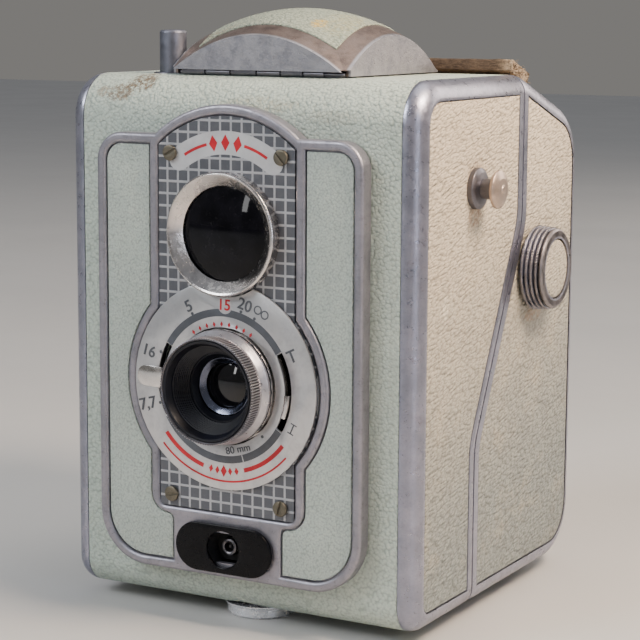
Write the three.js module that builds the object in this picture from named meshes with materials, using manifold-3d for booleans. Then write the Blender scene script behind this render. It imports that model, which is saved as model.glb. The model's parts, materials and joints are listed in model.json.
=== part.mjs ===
// A 6 x 6 box camera for 120 roll film: cast side frames around a covered body,
// a raised front trim with finder, lens and flash socket, a folding finder hood on top,
// and a back that swings down on a hinge along the bottom seam.
// Millimetres. X to the right, -Y towards the subject, +Z up.

import * as THREE from "three";
import { mergeVertices } from "three/addons/utils/BufferGeometryUtils.js";
import Module from "manifold-3d";

const wasm = await Module();
wasm.setup();

// ---------------------------------------------------------------- driving dimensions

const BODY_WIDTH = 84;
const BODY_HEIGHT = 112;
const BODY_DEPTH = 83;
const BEAD = 4; // radius of the round bead along the side frames
const HALF = BODY_WIDTH / 2;
const WRAP_HALF = HALF - BEAD; // the covered wrap lies between the two beads
const TOUCH = 0.3; // gap that touching pieces keep

const TOP_FRONT_RADIUS = 9;
const BOTTOM_FRONT_RADIUS = 6.5;
const ROOF_START = 52; // where the back's roof starts to slope
const ROOF_DROP = 0.34; // fall of the roof per millimetre of depth
const REAR_TOP_RADIUS = 14;
const REAR_BOTTOM_RADIUS = 13;

const SEAM_TOP_Y = 50.3; // seam between body and back: upper, slanted and lower stretch
const SEAM_TOP_Z = 80.7;
const SEAM_LOW_Y = 27.5;
const SEAM_LOW_Z = 35;
const SEAM_GAP = 0.5;
const SEAM_ROUND = 14;
const SEAM_BORDER = 2; // metal rim left along the seam

const SKIN = 0.5; // covering thickness
const SHELL_OUT = SKIN + TOUCH; // depth of the shell's outer face under the covering
const SHELL = 1.4;
const SHELL_IN = SHELL_OUT + SHELL;

const TRIM_FACE = -4.3; // front face of the raised trim
const TRIM_BACK = -TOUCH;
const TRIM_HALF = 31.7;
const TRIM_BOTTOM = 8.1;
const TRIM_TOP = 100.3;
const TRIM_BORDER = 2.1;
const TRIM_TOP_RADIUS = 6;
const TRIM_LOW_RADIUS = 11.5;
const TOWER_HALF = 18.5;
const BLOCK_HALF = 13.1;
const BLOCK_TOP = 20.4;
const INSET_DEPTH = 1;
const PLATE_RECESS = 1.1;

const FINDER_Z = 80.5;
const ARCH_RADIUS = 26.2;
const FINDER_BORE = 10.9;
const BEZEL_RADIUS = 12.7;
const LENS_Z = 49;
const BULGE_RADIUS = 24.2;
const DIAL_RADIUS = 21.8;
const DIAL_FACE = -4.9;
const DIAL_BORE = 12.3;
const SLOT_RADIUS = 15.3;
const SLOT_HALF = 0.75;
const POST_HALF = 0.45; // lever post inside its slot
const SHUTTER_BORE = 17.7; // opening behind the dial that holds the lever rings
const FOCUS_RADIUS = 11.1;
const FOCUS_FRONT = -12;
const FOCUS_BACK = -6.15;
const FOCUS_FLANGE = 11.9;
const CONE_INNER = 6.2;

const SYNC_Z = 14.5;
const SYNC_HALF = 11.6;
const SYNC_RADIUS = 5.2;

const HOOD_HALF = 21.3;
const HOOD_Y = 28.8;
const HOOD_ARCH = 8.2; // height of the end plates
const HOOD_RISE = 5.2; // extra height at the middle of the vault
const HOOD_BASE = BODY_HEIGHT + 0.3;
const HOOD_WALL = 1.1;
const HOOD_BORDER = 4.4;
const HOOD_AXIS_Y = HOOD_Y - HOOD_HALF + 0.9;
const HOOD_AXIS_Z = BODY_HEIGHT + 0.7;
const HINGE_RADIUS = 0.6;
const HINGE_WIRE = 0.3;

const BUTTON_X = -25.2;
const BUTTON_Y = 15.5;
const BUTTON_RADIUS = 2.9;
const BUTTON_TOP = 121.3;

const STUD_Y = 26;
const STUD_Z = 89.5;
const STUD_OUT = 6.4;

const KNOB_Y = 57;
const KNOB_Z = 69.8;
const KNOB_RADIUS = 9.2;
const KNOB_THICK = 5.2;
const TAKEUP_Y = 62;
const TAKEUP_Z = 88;
const GEAR_TEETH = 22;
const GEAR_IN = 35.5;
const GEAR_THICK = 1.8;

const SUPPLY_Y = 50;
const SUPPLY_Z = 15.6;
const SPOOL_HALF = 32.7;
const SPOOL_FLANGE = 12.3;
const FILM_Y = 78.6;
const FRAME_HALF = 28;
const ROLLER_RADIUS = 2.3;
const ROLLER_Y = 75.6;
const ROLLER_HALF = 29.4;

const HINGE_Y = SEAM_LOW_Y + 0.1;
const HINGE_Z = 1.5;
const HINGE_KNUCKLE = 1.5;
const HINGE_PIN = 0.6;

const BUSH_Y = 10.7;
const BUSH_RADIUS = 7.5;
const BUSH_HEIGHT = 2.7;
const BUSH_BORE = 3.2;

const STRAP_Y = 51.9; // front edge of the strap
const STRAP_WIDTH = 10;
const STRAP_THICK = 3;
const STRAP_GAP = 0.7; // how far the slack strap stands off the roof
const STRAP_LEFT = -36;
const STRAP_RIGHT = 38.5;
const RIVET_X = -30;

// ---------------------------------------------------------------- solids from three.js shapes

function solid(geometry) {
  const bare = geometry.index ? geometry.toNonIndexed() : geometry.clone();
  bare.deleteAttribute("normal");
  bare.deleteAttribute("uv");
  const merged = mergeVertices(bare, 1e-4);
  const vertProperties = new Float32Array(merged.attributes.position.array);
  const build = (triVerts) =>
    new wasm.Manifold(new wasm.Mesh({ numProp: 3, vertProperties, triVerts }));
  const faces = new Uint32Array(merged.index.array);
  const made = build(faces);
  return made.volume() < 0 ? build(faces.reverse()) : made;
}

function join(...solids) {
  return solids.reduce((a, b) => a.add(b));
}

function cut(whole, ...tools) {
  return tools.reduce((a, b) => a.subtract(b), whole);
}

function geometryOf(manifold) {
  const mesh = manifold.getMesh();
  const geometry = new THREE.BufferGeometry();
  geometry.setAttribute("position", new THREE.BufferAttribute(mesh.vertProperties, 3));
  geometry.setIndex(new THREE.BufferAttribute(mesh.triVerts, 1));
  return geometry;
}

function mirrored(manifold) {
  return solid(geometryOf(manifold).scale(-1, 1, 1));
}

const AXIS = {
  x: new THREE.Vector3(1, 0, 0),
  y: new THREE.Vector3(0, 1, 0),
  z: new THREE.Vector3(0, 0, 1),
};

function extruded(outline, length, holes = [], bevel = null) {
  const shape = new THREE.Shape(outline.map(([u, v]) => new THREE.Vector2(u, v)));
  shape.holes = holes.map((h) => new THREE.Path(h.map(([u, v]) => new THREE.Vector2(u, v))));
  return new THREE.ExtrudeGeometry(shape, { depth: length, bevelEnabled: false, ...bevel });
}

// Outline in (y, z), extruded from x0 to x1.
function prismX(outline, x0, x1, holes) {
  const geometry = extruded(outline, x1 - x0, holes);
  geometry.applyMatrix4(new THREE.Matrix4().makeBasis(AXIS.y, AXIS.z, AXIS.x));
  return solid(geometry.translate(x0, 0, 0));
}

// Outline in (x, z), extruded from yBack forward to yFront.
function prismY(outline, yBack, yFront, holes) {
  const geometry = extruded(outline, yBack - yFront, holes);
  const forward = AXIS.y.clone().negate();
  geometry.applyMatrix4(new THREE.Matrix4().makeBasis(AXIS.x, AXIS.z, forward));
  return solid(geometry.translate(0, yBack, 0));
}

// Outline in (x, y), extruded from z0 up to z1.
function prismZ(outline, z0, z1, holes) {
  return solid(extruded(outline, z1 - z0, holes).translate(0, 0, z0));
}

function block([x0, x1], [y0, y1], [z0, z1]) {
  const geometry = new THREE.BoxGeometry(x1 - x0, y1 - y0, z1 - z0);
  return solid(geometry.translate((x0 + x1) / 2, (y0 + y1) / 2, (z0 + z1) / 2));
}

// A profile of [radius, height] turned about a line along one axis.
function turned(axis, profile, [a, b], segments = 28) {
  const points = profile.map(([r, h]) => new THREE.Vector2(r, h));
  const geometry = new THREE.LatheGeometry(points, segments);
  if (axis === "x") geometry.rotateZ(-Math.PI / 2).translate(0, a, b);
  if (axis === "y") geometry.translate(a, 0, b);
  if (axis === "z") geometry.rotateX(Math.PI / 2).translate(a, b, 0);
  return solid(geometry);
}

function rod(axis, radius, [h0, h1], centre, segments = 16) {
  return turned(axis, [[0, h0], [radius, h0], [radius, h1], [0, h1]], centre, segments);
}

function tube(axis, inner, outer, [h0, h1], centre, segments = 24) {
  const profile = [[inner, h0], [outer, h0], [outer, h1], [inner, h1], [inner, h0]];
  return turned(axis, profile, centre, segments);
}

// ---------------------------------------------------------------- outlines

function polar(cu, cv, radius, degrees) {
  const a = THREE.MathUtils.degToRad(degrees);
  return [cu + radius * Math.cos(a), cv + radius * Math.sin(a)];
}

function arc(cu, cv, radius, from, to, steps) {
  const at = (i) => from + ((to - from) * i) / steps;
  return Array.from({ length: steps + 1 }, (_, i) => polar(cu, cv, radius, at(i)));
}

function circle(cu, cv, radius, steps = 32) {
  return arc(cu, cv, radius, 0, 360, steps).slice(0, -1);
}

// Corners [u, v, radius] joined by straight lines, each corner rounded by its radius.
function rounded(corners, steps = 5) {
  const count = corners.length;
  return corners.flatMap(([u, v, radius = 0], i) => {
    if (!radius) return [[u, v]];
    const here = new THREE.Vector2(u, v);
    const before = new THREE.Vector2(...corners[(i + count - 1) % count]).sub(here).normalize();
    const after = new THREE.Vector2(...corners[(i + 1) % count]).sub(here).normalize();
    const half = Math.acos(THREE.MathUtils.clamp(before.dot(after), -1, 1)) / 2;
    const reach = radius / Math.sin(half);
    const centre = before.clone().add(after).normalize().multiplyScalar(reach).add(here);
    const start = before.clone().multiplyScalar(radius / Math.tan(half)).add(here).sub(centre);
    const end = after.clone().multiplyScalar(radius / Math.tan(half)).add(here).sub(centre);
    const turn = Math.atan2(start.cross(end), start.dot(end));
    return Array.from({ length: steps + 1 }, (_, k) => {
      const p = start.clone().rotateAround(new THREE.Vector2(), (turn * k) / steps).add(centre);
      return [p.x, p.y];
    });
  });
}

// The outline moved inwards by a distance, for an outline drawn anticlockwise.
function inset(outline, distance) {
  const count = outline.length;
  return outline.map((_, i) => {
    const here = new THREE.Vector2(...outline[i]);
    const a = here.clone().sub(new THREE.Vector2(...outline[(i + count - 1) % count])).normalize();
    const b = new THREE.Vector2(...outline[(i + 1) % count]).sub(here).normalize();
    const normal = new THREE.Vector2(-a.y - b.y, a.x + b.x).normalize();
    const scale = distance / (normal.x * -a.y + normal.y * a.x);
    return [here.x + normal.x * scale, here.y + normal.y * scale];
  });
}

// The whole side view of the camera, anticlockwise in (y, z).
function sideOutline() {
  const rearTopZ = BODY_HEIGHT - (BODY_DEPTH - ROOF_START) * ROOF_DROP;
  return rounded([
    [0, 0, BOTTOM_FRONT_RADIUS],
    [BODY_DEPTH, 0, REAR_BOTTOM_RADIUS],
    [BODY_DEPTH, rearTopZ, REAR_TOP_RADIUS],
    [ROOF_START, BODY_HEIGHT, 10],
    [0, BODY_HEIGHT, TOP_FRONT_RADIUS],
  ]);
}

// Everything behind the seam, the seam moved rearwards by a distance.
function behindSeam(shift) {
  const far = 200;
  const along = new THREE.Vector2(SEAM_TOP_Y - SEAM_LOW_Y, SEAM_TOP_Z - SEAM_LOW_Z).normalize();
  const climb = along.y / along.x;
  const slantShift = shift / along.y;
  const cornerZ = (y, y0, z0) => z0 + (y - y0 - slantShift) * climb;
  const lowY = SEAM_LOW_Y + shift;
  const topY = SEAM_TOP_Y + shift;
  return rounded([
    [lowY, -far],
    [far, -far],
    [far, far],
    [topY, far],
    [topY, cornerZ(topY, SEAM_TOP_Y, SEAM_TOP_Z), SEAM_ROUND],
    [lowY, cornerZ(lowY, SEAM_LOW_Y, SEAM_LOW_Z), SEAM_ROUND],
  ]);
}

function behind(shift) {
  return prismX(behindSeam(shift), -100, 100);
}

// A ring of the side view between two depths under its outline.
function wrap(outer, inner, halfLength) {
  const outline = sideOutline();
  return prismX(inset(outline, outer), -halfLength, halfLength, [inset(outline, inner)]);
}

function stadium(half, radius, cz) {
  return [
    ...arc(half - radius, cz, radius, -90, 90, 8),
    ...arc(radius - half, cz, radius, 90, 270, 8),
  ];
}

// ---------------------------------------------------------------- materials

const tones = {
  covering: [0xa9b9aa, 0.75, 0],
  castMetal: [0x9c9698, 0.42, 0.9],
  sheetSteel: [0x6a6a6c, 0.5, 0.9],
  blackPaint: [0x17171a, 0.6, 0],
  lightPlate: [0xc9c9c6, 0.35, 0.8],
  darkPlate: [0x63666a, 0.45, 0.3],
  chrome: [0xd8d6d2, 0.15, 1],
  brass: [0x9a8a66, 0.4, 1],
  glass: [0x20242a, 0.05, 0],
  mirror: [0xd5dade, 0.05, 1],
  bakelite: [0x121214, 0.3, 0],
  strap: [0x6d5a46, 0.85, 0],
  red: [0x8e1a1a, 0.2, 0],
};

function material(tone) {
  const [color, roughness, metalness] = tones[tone];
  return new THREE.MeshStandardMaterial({ color, roughness, metalness });
}

function piece(group, name, manifold, tone) {
  const mesh = new THREE.Mesh(geometryOf(manifold), material(tone));
  mesh.name = name;
  group.add(mesh);
}

// ---------------------------------------------------------------- body

const SIDE = sideOutline();

// One side of the camera: a plate whose rim is a quarter-round bead, hollow behind.
function sideBlank() {
  const bevel = {
    bevelEnabled: true,
    bevelThickness: BEAD,
    bevelSize: BEAD,
    bevelOffset: -BEAD,
    bevelSegments: 4,
  };
  const geometry = extruded(SIDE, 2, [], bevel);
  geometry.applyMatrix4(new THREE.Matrix4().makeBasis(AXIS.y, AXIS.z, AXIS.x));
  const whole = solid(geometry.translate(WRAP_HALF - 2, 0, 0));
  const inner = block([WRAP_HALF - 20, WRAP_HALF], [-50, 150], [-50, 200]);
  const hollow = prismX(inset(SIDE, BEAD - 1), WRAP_HALF - 1, WRAP_HALF + 1.7);
  return cut(whole, inner, hollow);
}

// The shallow field inside the bead that takes the covering.
function field(depth, rim) {
  return prismX(inset(SIDE, BEAD + rim), HALF - depth, HALF + 5);
}

const SIDE_FIELD = 0.9;

function bodySide() {
  const frontPart = cut(sideBlank(), behind(-SEAM_GAP / 2));
  const recess = cut(field(SIDE_FIELD, 0), behind(-SEAM_GAP / 2 - SEAM_BORDER));
  const studHole = rod("x", 2.3, [WRAP_HALF - 2, HALF + 1], [STUD_Y, STUD_Z]);
  return cut(frontPart, recess, studHole);
}

function bodySideCovering() {
  const slab = prismX(inset(SIDE, BEAD + TOUCH), HALF - SIDE_FIELD + TOUCH, HALF - 0.1);
  const studHole = rod("x", 2.3, [WRAP_HALF, HALF + 1], [STUD_Y, STUD_Z]);
  return cut(slab, behind(-SEAM_GAP / 2 - SEAM_BORDER - TOUCH), studHole);
}

function backSide() {
  const rearPart = sideBlank().intersect(behind(SEAM_GAP / 2));
  const recess = field(SIDE_FIELD, 0).intersect(behind(SEAM_GAP / 2 + SEAM_BORDER));
  const hingeRoom = block([30, 50], [20, HINGE_Y + 2.1], [-1, HINGE_Z + 0.15]);
  return cut(rearPart, recess, hingeRoom);
}

function backSideCovering() {
  const slab = prismX(inset(SIDE, BEAD + TOUCH), HALF - SIDE_FIELD + TOUCH, HALF - 0.1);
  return slab.intersect(behind(SEAM_GAP / 2 + SEAM_BORDER + TOUCH));
}

function frontBores(yBack, yFront) {
  return join(
    prismY(circle(0, FINDER_Z, FINDER_BORE), yBack, yFront),
    prismY(circle(0, LENS_Z, SHUTTER_BORE), yBack, yFront),
    prismY(stadium(SYNC_HALF - 2, SYNC_RADIUS - 2, SYNC_Z), yBack, yFront),
  );
}

function topOpenings() {
  const window = HOOD_HALF - 4.3;
  return join(
    block([-window, window], [HOOD_Y - window, HOOD_Y + window], [100, 120]),
    rod("z", BUTTON_RADIUS + TOUCH, [100, 120], [BUTTON_X, BUTTON_Y]),
  );
}

const LATCH_HALF = 5;

function bodyShell() {
  const open = cut(wrap(SHELL_OUT, SHELL_IN, WRAP_HALF - TOUCH), behind(-SEAM_GAP / 2));
  const knuckles = [-1, 1].map((side) =>
    rod("x", HINGE_KNUCKLE, side < 0 ? [-34, -20] : [20, 34], [HINGE_Y, HINGE_Z]),
  );
  const pin = rod("x", HINGE_PIN, [-37, 37], [HINGE_Y, HINGE_Z], 12);
  const latchNotch = block([-LATCH_HALF - 0.5, LATCH_HALF + 0.5], [47, 60], [100, 120]);
  const bushHole = rod("z", BUSH_BORE + 1.3, [-5, 5], [0, BUSH_Y]);
  const backKnuckleRoom = rod("x", HINGE_KNUCKLE + 0.4, [-19.5, 19.5], [HINGE_Y, HINGE_Z]);
  const shell = cut(
    join(open, ...knuckles),
    frontBores(5, -5),
    topOpenings(),
    latchNotch,
    bushHole,
    backKnuckleRoom,
  );
  return join(shell, pin);
}

function bodyCovering() {
  const open = cut(wrap(0, SKIN, WRAP_HALF - TOUCH / 2), behind(-SEAM_GAP / 2));
  const bushHole = rod("z", BUSH_RADIUS + TOUCH, [-5, 5], [0, BUSH_Y]);
  const hingeRoom = block([-38, 38], [HINGE_Y - 2, 40], [-1, 4]);
  return cut(open, frontBores(5, -5), topOpenings(), bushHole, hingeRoom);
}

function tripodBush() {
  return turned(
    "z",
    [
      [BUSH_BORE, -BUSH_HEIGHT],
      [BUSH_RADIUS - 0.5, -BUSH_HEIGHT],
      [BUSH_RADIUS, -BUSH_HEIGHT + 0.5],
      [BUSH_RADIUS, SHELL_OUT - TOUCH],
      [BUSH_BORE + 1, SHELL_OUT - TOUCH],
      [BUSH_BORE + 1, SHELL_IN + 2],
      [BUSH_BORE, SHELL_IN + 2],
      [BUSH_BORE, -BUSH_HEIGHT],
    ],
    [0, BUSH_Y],
  );
}

// A mushroom stud: round base, thin neck and a domed head.
function strapStud() {
  const out = HALF + STUD_OUT;
  const profile = [
    [0, WRAP_HALF + 1],
    [2, WRAP_HALF + 1],
    [2, HALF + 0.2],
    [4.2, HALF + 0.2],
    [4.2, HALF + 1.2],
    [3.4, HALF + 1.6],
    [2.1, HALF + 1.8],
    [2.1, out - 2],
    [3.9, out - 1.7],
    [3.9, out - 0.9],
    [2.8, out - 0.3],
    [1.4, out],
    [0, out],
  ];
  return turned("x", profile, [STUD_Y, STUD_Z], 18);
}

// ---------------------------------------------------------------- front

function trimOutline(border) {
  const half = TRIM_HALF - border;
  return rounded([
    [-half, TRIM_BOTTOM + border, TRIM_LOW_RADIUS - border],
    [half, TRIM_BOTTOM + border, TRIM_LOW_RADIUS - border],
    [half, TRIM_TOP - border, TRIM_TOP_RADIUS - border],
    [-half, TRIM_TOP - border, TRIM_TOP_RADIUS - border],
  ]);
}

// The tower in the middle: straight sides under a round arch.
function towerOutline(half, archRadius, bottom) {
  const reach = THREE.MathUtils.radToDeg(Math.acos(half / archRadius));
  return [
    [-half, bottom],
    [half, bottom],
    ...arc(0, FINDER_Z, archRadius, reach, 180 - reach, 16),
  ];
}

function prismTower(border, bottom, yBack, yFront) {
  const outline = towerOutline(TOWER_HALF - border, ARCH_RADIUS - border, bottom);
  const bulge = circle(0, LENS_Z, BULGE_RADIUS - border, 48);
  return join(prismY(outline, yBack, yFront), prismY(bulge, yBack, yFront));
}

// The covered field at the right of the tower, the gap leaving room around a fitted piece.
function wingField(gap, yBack, yFront) {
  const whole = prismY(trimOutline(TRIM_BORDER + gap), yBack, yFront);
  const reach = TOWER_HALF + gap;
  const foot = BLOCK_HALF + gap;
  const keepOut = rounded([
    [-60, -10],
    [foot, -10],
    [foot, BLOCK_TOP - gap, 1.5 - gap],
    [reach, BLOCK_TOP - gap, 4 + gap],
    [reach, 130],
    [-60, 130],
  ]);
  const bulge = prismY(circle(0, LENS_Z, BULGE_RADIUS + gap, 48), yBack + 1, yFront - 1);
  return cut(whole, prismY(keepOut, yBack + 1, yFront - 1), bulge);
}

const PLATE_BOTTOM = 21.9;
const PLATE_GAP = 0.2;

function frontTrim() {
  const slab = join(
    prismY(trimOutline(0), TRIM_BACK, TRIM_FACE),
    prismTower(0, BLOCK_TOP, TRIM_BACK, TRIM_FACE),
  );
  const wing = wingField(0, TRIM_FACE + INSET_DEPTH, TRIM_FACE - 1);
  const tower = prismTower(TRIM_BORDER, PLATE_BOTTOM, TRIM_FACE + PLATE_RECESS, TRIM_FACE - 1);
  const screwHoles = SCREWS.map(([x, z]) => prismY(circle(x, z, 1, 16), 1, -6));
  return cut(slab, wing, mirrored(wing), tower, frontBores(5, -8), ...screwHoles);
}

function frontInset() {
  return wingField(TOUCH, TRIM_FACE + INSET_DEPTH - TOUCH, TRIM_FACE + 0.15);
}

const SCREWS = [
  [-13.2, 96.5],
  [13.2, 96.5],
  [-13.2, 24.7],
  [13.2, 24.7],
];
const PLATE_BACK = TRIM_FACE + PLATE_RECESS - TOUCH;
const PLATE_FACE = -4;

function facePlate() {
  const plate = prismTower(TRIM_BORDER + PLATE_GAP, PLATE_BOTTOM + PLATE_GAP, PLATE_BACK, PLATE_FACE);
  const screwHoles = SCREWS.map(([x, z]) => prismY(circle(x, z, 1, 16), 1, -6));
  return cut(
    plate,
    prismY(circle(0, FINDER_Z, FINDER_BORE), 1, -6),
    prismY(circle(0, LENS_Z, SHUTTER_BORE), 1, -6),
    ...screwHoles,
  );
}

function faceScrew([x, z]) {
  const head = PLATE_FACE - TOUCH;
  const profile = [
    [0, -1],
    [0.7, -1],
    [0.7, head],
    [1.5, head],
    [1.5, head - 0.3],
    [1.1, head - 0.6],
    [0, head - 0.6],
  ];
  const slot = block([x - 2, x + 2], [head - 1, head - 0.35], [z - 0.18, z + 0.18]);
  return cut(turned("y", profile, [x, z], 12), slot);
}

function ringSector(inner, outer, from, to) {
  const steps = Math.ceil((to - from) / 6);
  return [
    ...arc(0, LENS_Z, outer, from, to, steps),
    ...arc(0, LENS_Z, inner, to, from, steps),
  ];
}

// Lever slots in the dial, as angles from +x in the front view.
const APERTURE_SLOT = [150, 208];
const SELECTOR_SLOT = [-31, 31];

function dialPlate() {
  const disc = prismY(circle(0, LENS_Z, DIAL_RADIUS, 48), PLATE_FACE - TOUCH, DIAL_FACE);
  const slots = [APERTURE_SLOT, SELECTOR_SLOT].map(([from, to]) =>
    prismY(ringSector(SLOT_RADIUS - SLOT_HALF, SLOT_RADIUS + SLOT_HALF, from, to), 0, -6),
  );
  const bezelRoom = prismY(circle(0, FINDER_Z, BEZEL_RADIUS + TOUCH), 0, -6);
  return cut(disc, prismY(circle(0, LENS_Z, DIAL_BORE), 0, -6), bezelRoom, ...slots);
}

// ---------------------------------------------------------------- finder and hood

function finderBezel() {
  const base = PLATE_FACE - TOUCH;
  const profile = [
    [9.9, 2],
    [9.9, -4.6],
    [12.1, -6.8],
    [12.5, -6.8],
    [BEZEL_RADIUS, -6.5],
    [BEZEL_RADIUS, base],
    [FINDER_BORE - TOUCH, base],
    [FINDER_BORE - TOUCH, 2],
    [9.9, 2],
  ];
  return turned("y", profile, [0, FINDER_Z], 30);
}

function finderLens() {
  return turned("y", domed(9.5, -2.4, -4.3, 1.4), [0, FINDER_Z]);
}

// Profile of a glass that is flat behind and domed in front.
function domed(edge, back, rim, bulge) {
  const steps = 4;
  const front = Array.from({ length: steps + 1 }, (_, i) => {
    const r = edge * (1 - i / steps);
    return [r, rim - bulge * (1 - (r / edge) ** 2)];
  });
  return [[0, back], [edge, back], ...front];
}

const MIRROR_REACH = 12.4;
const CASE_HALF = 16.4;
const CASE_FRONT = SHELL_IN + TOUCH;
const CASE_BACK = 45.6;
const CASE_TOP = BODY_HEIGHT - SHELL_IN - TOUCH;

// A dark box behind the finder lens, its sloping floor carrying the mirror.
function finderCase() {
  const floor = FINDER_Z - MIRROR_REACH - 2.2;
  const slopeStart = HOOD_Y - MIRROR_REACH + 1;
  const slopeTop = floor + (CASE_BACK - slopeStart);
  const outline = [
    [CASE_FRONT, floor],
    [slopeStart, floor],
    [CASE_BACK, slopeTop],
    [CASE_BACK, CASE_TOP],
    [CASE_FRONT + TOP_FRONT_RADIUS, CASE_TOP],
    [CASE_FRONT, CASE_TOP - TOP_FRONT_RADIUS],
  ];
  const mouth = block([1 - CASE_HALF, CASE_HALF - 1], [CASE_FRONT + 10, CASE_BACK - 1], [100, 120]);
  return cut(
    prismX(outline, -CASE_HALF, CASE_HALF),
    prismX(inset(outline, 1), 1 - CASE_HALF, CASE_HALF - 1),
    mouth,
    prismY(circle(0, FINDER_Z, 9), 6, 0),
  );
}

function finderMirror() {
  const half = MIRROR_REACH;
  const back = 0.7;
  const outline = [
    [HOOD_Y - half + back, FINDER_Z - half - back],
    [HOOD_Y + half + back, FINDER_Z + half - back],
    [HOOD_Y + half, FINDER_Z + half],
    [HOOD_Y - half, FINDER_Z - half],
  ];
  return prismX(outline, 2 - CASE_HALF, CASE_HALF - 2);
}

// A square field glass with a domed top, seen when the hood is open.
function fieldGlass() {
  const half = HOOD_HALF - 4.9;
  const cells = 6;
  const top = (u, v) => BODY_HEIGHT - 0.6 + 1.5 * (1 - u * u) * (1 - v * v);
  return heightSlab(half, cells, top, () => CASE_TOP + TOUCH);
}

// A closed slab over a square about the hood's middle, between two heights given on [-1, 1].
function heightSlab(half, cells, top, bottom) {
  const corner = (i, j, height) => {
    const u = (2 * i) / cells - 1;
    const v = (2 * j) / cells - 1;
    return [u * half, HOOD_Y + v * half, height(u, v)];
  };
  const triangles = [];
  const quad = (a, b, c, d) => triangles.push(a, b, c, a, c, d);
  for (let i = 0; i < cells; i++) {
    for (let j = 0; j < cells; j++) {
      const square = (height) => [
        corner(i, j, height),
        corner(i + 1, j, height),
        corner(i + 1, j + 1, height),
        corner(i, j + 1, height),
      ];
      // The split of each square follows the diagonals of the whole.
      const turn = i < cells / 2 === j < cells / 2 ? 0 : 1;
      const upper = square(top);
      const lower = square(bottom);
      quad(...[0, 1, 2, 3].map((k) => upper[(k + turn) % 4]));
      quad(...[3, 2, 1, 0].map((k) => lower[(k + 4 - turn) % 4]));
    }
  }
  const wall = (i0, j0, i1, j1) =>
    quad(
      corner(i0, j0, bottom),
      corner(i1, j1, bottom),
      corner(i1, j1, top),
      corner(i0, j0, top),
    );
  for (let k = 0; k < cells; k++) {
    wall(k, 0, k + 1, 0);
    wall(cells, k, cells, k + 1);
    wall(cells - k, cells, cells - k - 1, cells);
    wall(0, cells - k, 0, cells - k - 1);
  }
  const geometry = new THREE.BufferGeometry();
  geometry.setAttribute("position", new THREE.Float32BufferAttribute(triangles.flat(), 3));
  return solid(geometry);
}

// Height of the hood's vault: two crossed barrels whose ridges rise to the middle.
function vault(x, y) {
  const u = x / HOOD_HALF;
  const v = y / HOOD_HALF;
  const low = Math.min(Math.abs(u), Math.abs(v));
  const high = Math.max(Math.abs(u), Math.abs(v));
  const spring = BODY_HEIGHT + 0.3;
  return spring + HOOD_ARCH + HOOD_RISE - HOOD_RISE * high * high - HOOD_ARCH * low * low;
}

function vaultOver(half, drop) {
  return (u, v) => Math.max(vault(u * half, v * half) - drop, HOOD_BASE + 0.4);
}

const HOOD_KNUCKLES = [
  [-18, -12.5],
  [-6, 0],
  [6, 11],
];
const LEAF_KNUCKLES = [
  [-12.2, -6.3],
  [0.3, 5.7],
  [11.3, 16],
];

function knuckle(span) {
  return rod("x", HINGE_RADIUS, span, [HOOD_AXIS_Y, HOOD_AXIS_Z], 10);
}

// The lid: a vaulted shell with flat ends, hinged along the foot of its front end.
function hoodCover() {
  const inner = HOOD_HALF - HOOD_WALL;
  const shell = cut(
    heightSlab(HOOD_HALF, 10, vaultOver(HOOD_HALF, 0), () => HOOD_BASE),
    heightSlab(inner, 10, vaultOver(inner, HOOD_WALL), () => HOOD_BASE - 1),
  );
  const sink = HOOD_HALF - HOOD_BORDER;
  const coveringField = heightSlab(sink, 8, () => 140, vaultOver(sink, 0.5));
  const footZ = HOOD_AXIS_Z + HINGE_RADIUS + TOUCH;
  const front = HOOD_Y - HOOD_HALF;
  const hingeRoom = block([-30, 30], [front - 1, front + 2.2], [HOOD_BASE - 1, footZ]);
  const knuckles = HOOD_KNUCKLES.map((span) =>
    join(
      knuckle(span),
      block(span, [HOOD_AXIS_Y - 0.6, HOOD_AXIS_Y + 0.1], [HOOD_AXIS_Z, footZ + 0.4]),
    ),
  );
  const pinHole = rod("x", HINGE_WIRE + 0.15, [-30, 30], [HOOD_AXIS_Y, HOOD_AXIS_Z], 8);
  return cut(join(cut(shell, coveringField, hingeRoom), ...knuckles), pinHole);
}

function hoodCovering() {
  const half = HOOD_HALF - HOOD_BORDER - TOUCH;
  return heightSlab(half, 8, vaultOver(half, -0.15), vaultOver(half, 0.5 - TOUCH));
}

// The fixed leaf on the top of the body, with its knuckles and the hinge pin in them.
function hoodHinge() {
  const low = BODY_HEIGHT + 0.1;
  const high = BODY_HEIGHT + 0.45;
  const strip = block([-18.5, 19.5], [HOOD_AXIS_Y + 0.9, HOOD_AXIS_Y + 3], [low, high]);
  const knuckles = LEAF_KNUCKLES.map((span) =>
    join(knuckle(span), block(span, [HOOD_AXIS_Y, HOOD_AXIS_Y + 1.2], [low, high])),
  );
  const pin = rod("x", HINGE_WIRE, [-18.6, 20.6], [HOOD_AXIS_Y, HOOD_AXIS_Z], 8);
  return join(strip, ...knuckles, pin);
}

// ---------------------------------------------------------------- release, shutter and lens

function releaseButton() {
  const profile = [
    [0, 97],
    [1.2, 97],
    [1.2, 106.4],
    [BUTTON_RADIUS, 106.4],
    [BUTTON_RADIUS, BUTTON_TOP - 0.5],
    [BUTTON_RADIUS - 0.5, BUTTON_TOP],
    [0, BUTTON_TOP],
  ];
  return turned("z", profile, [BUTTON_X, BUTTON_Y], 28);
}

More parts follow.
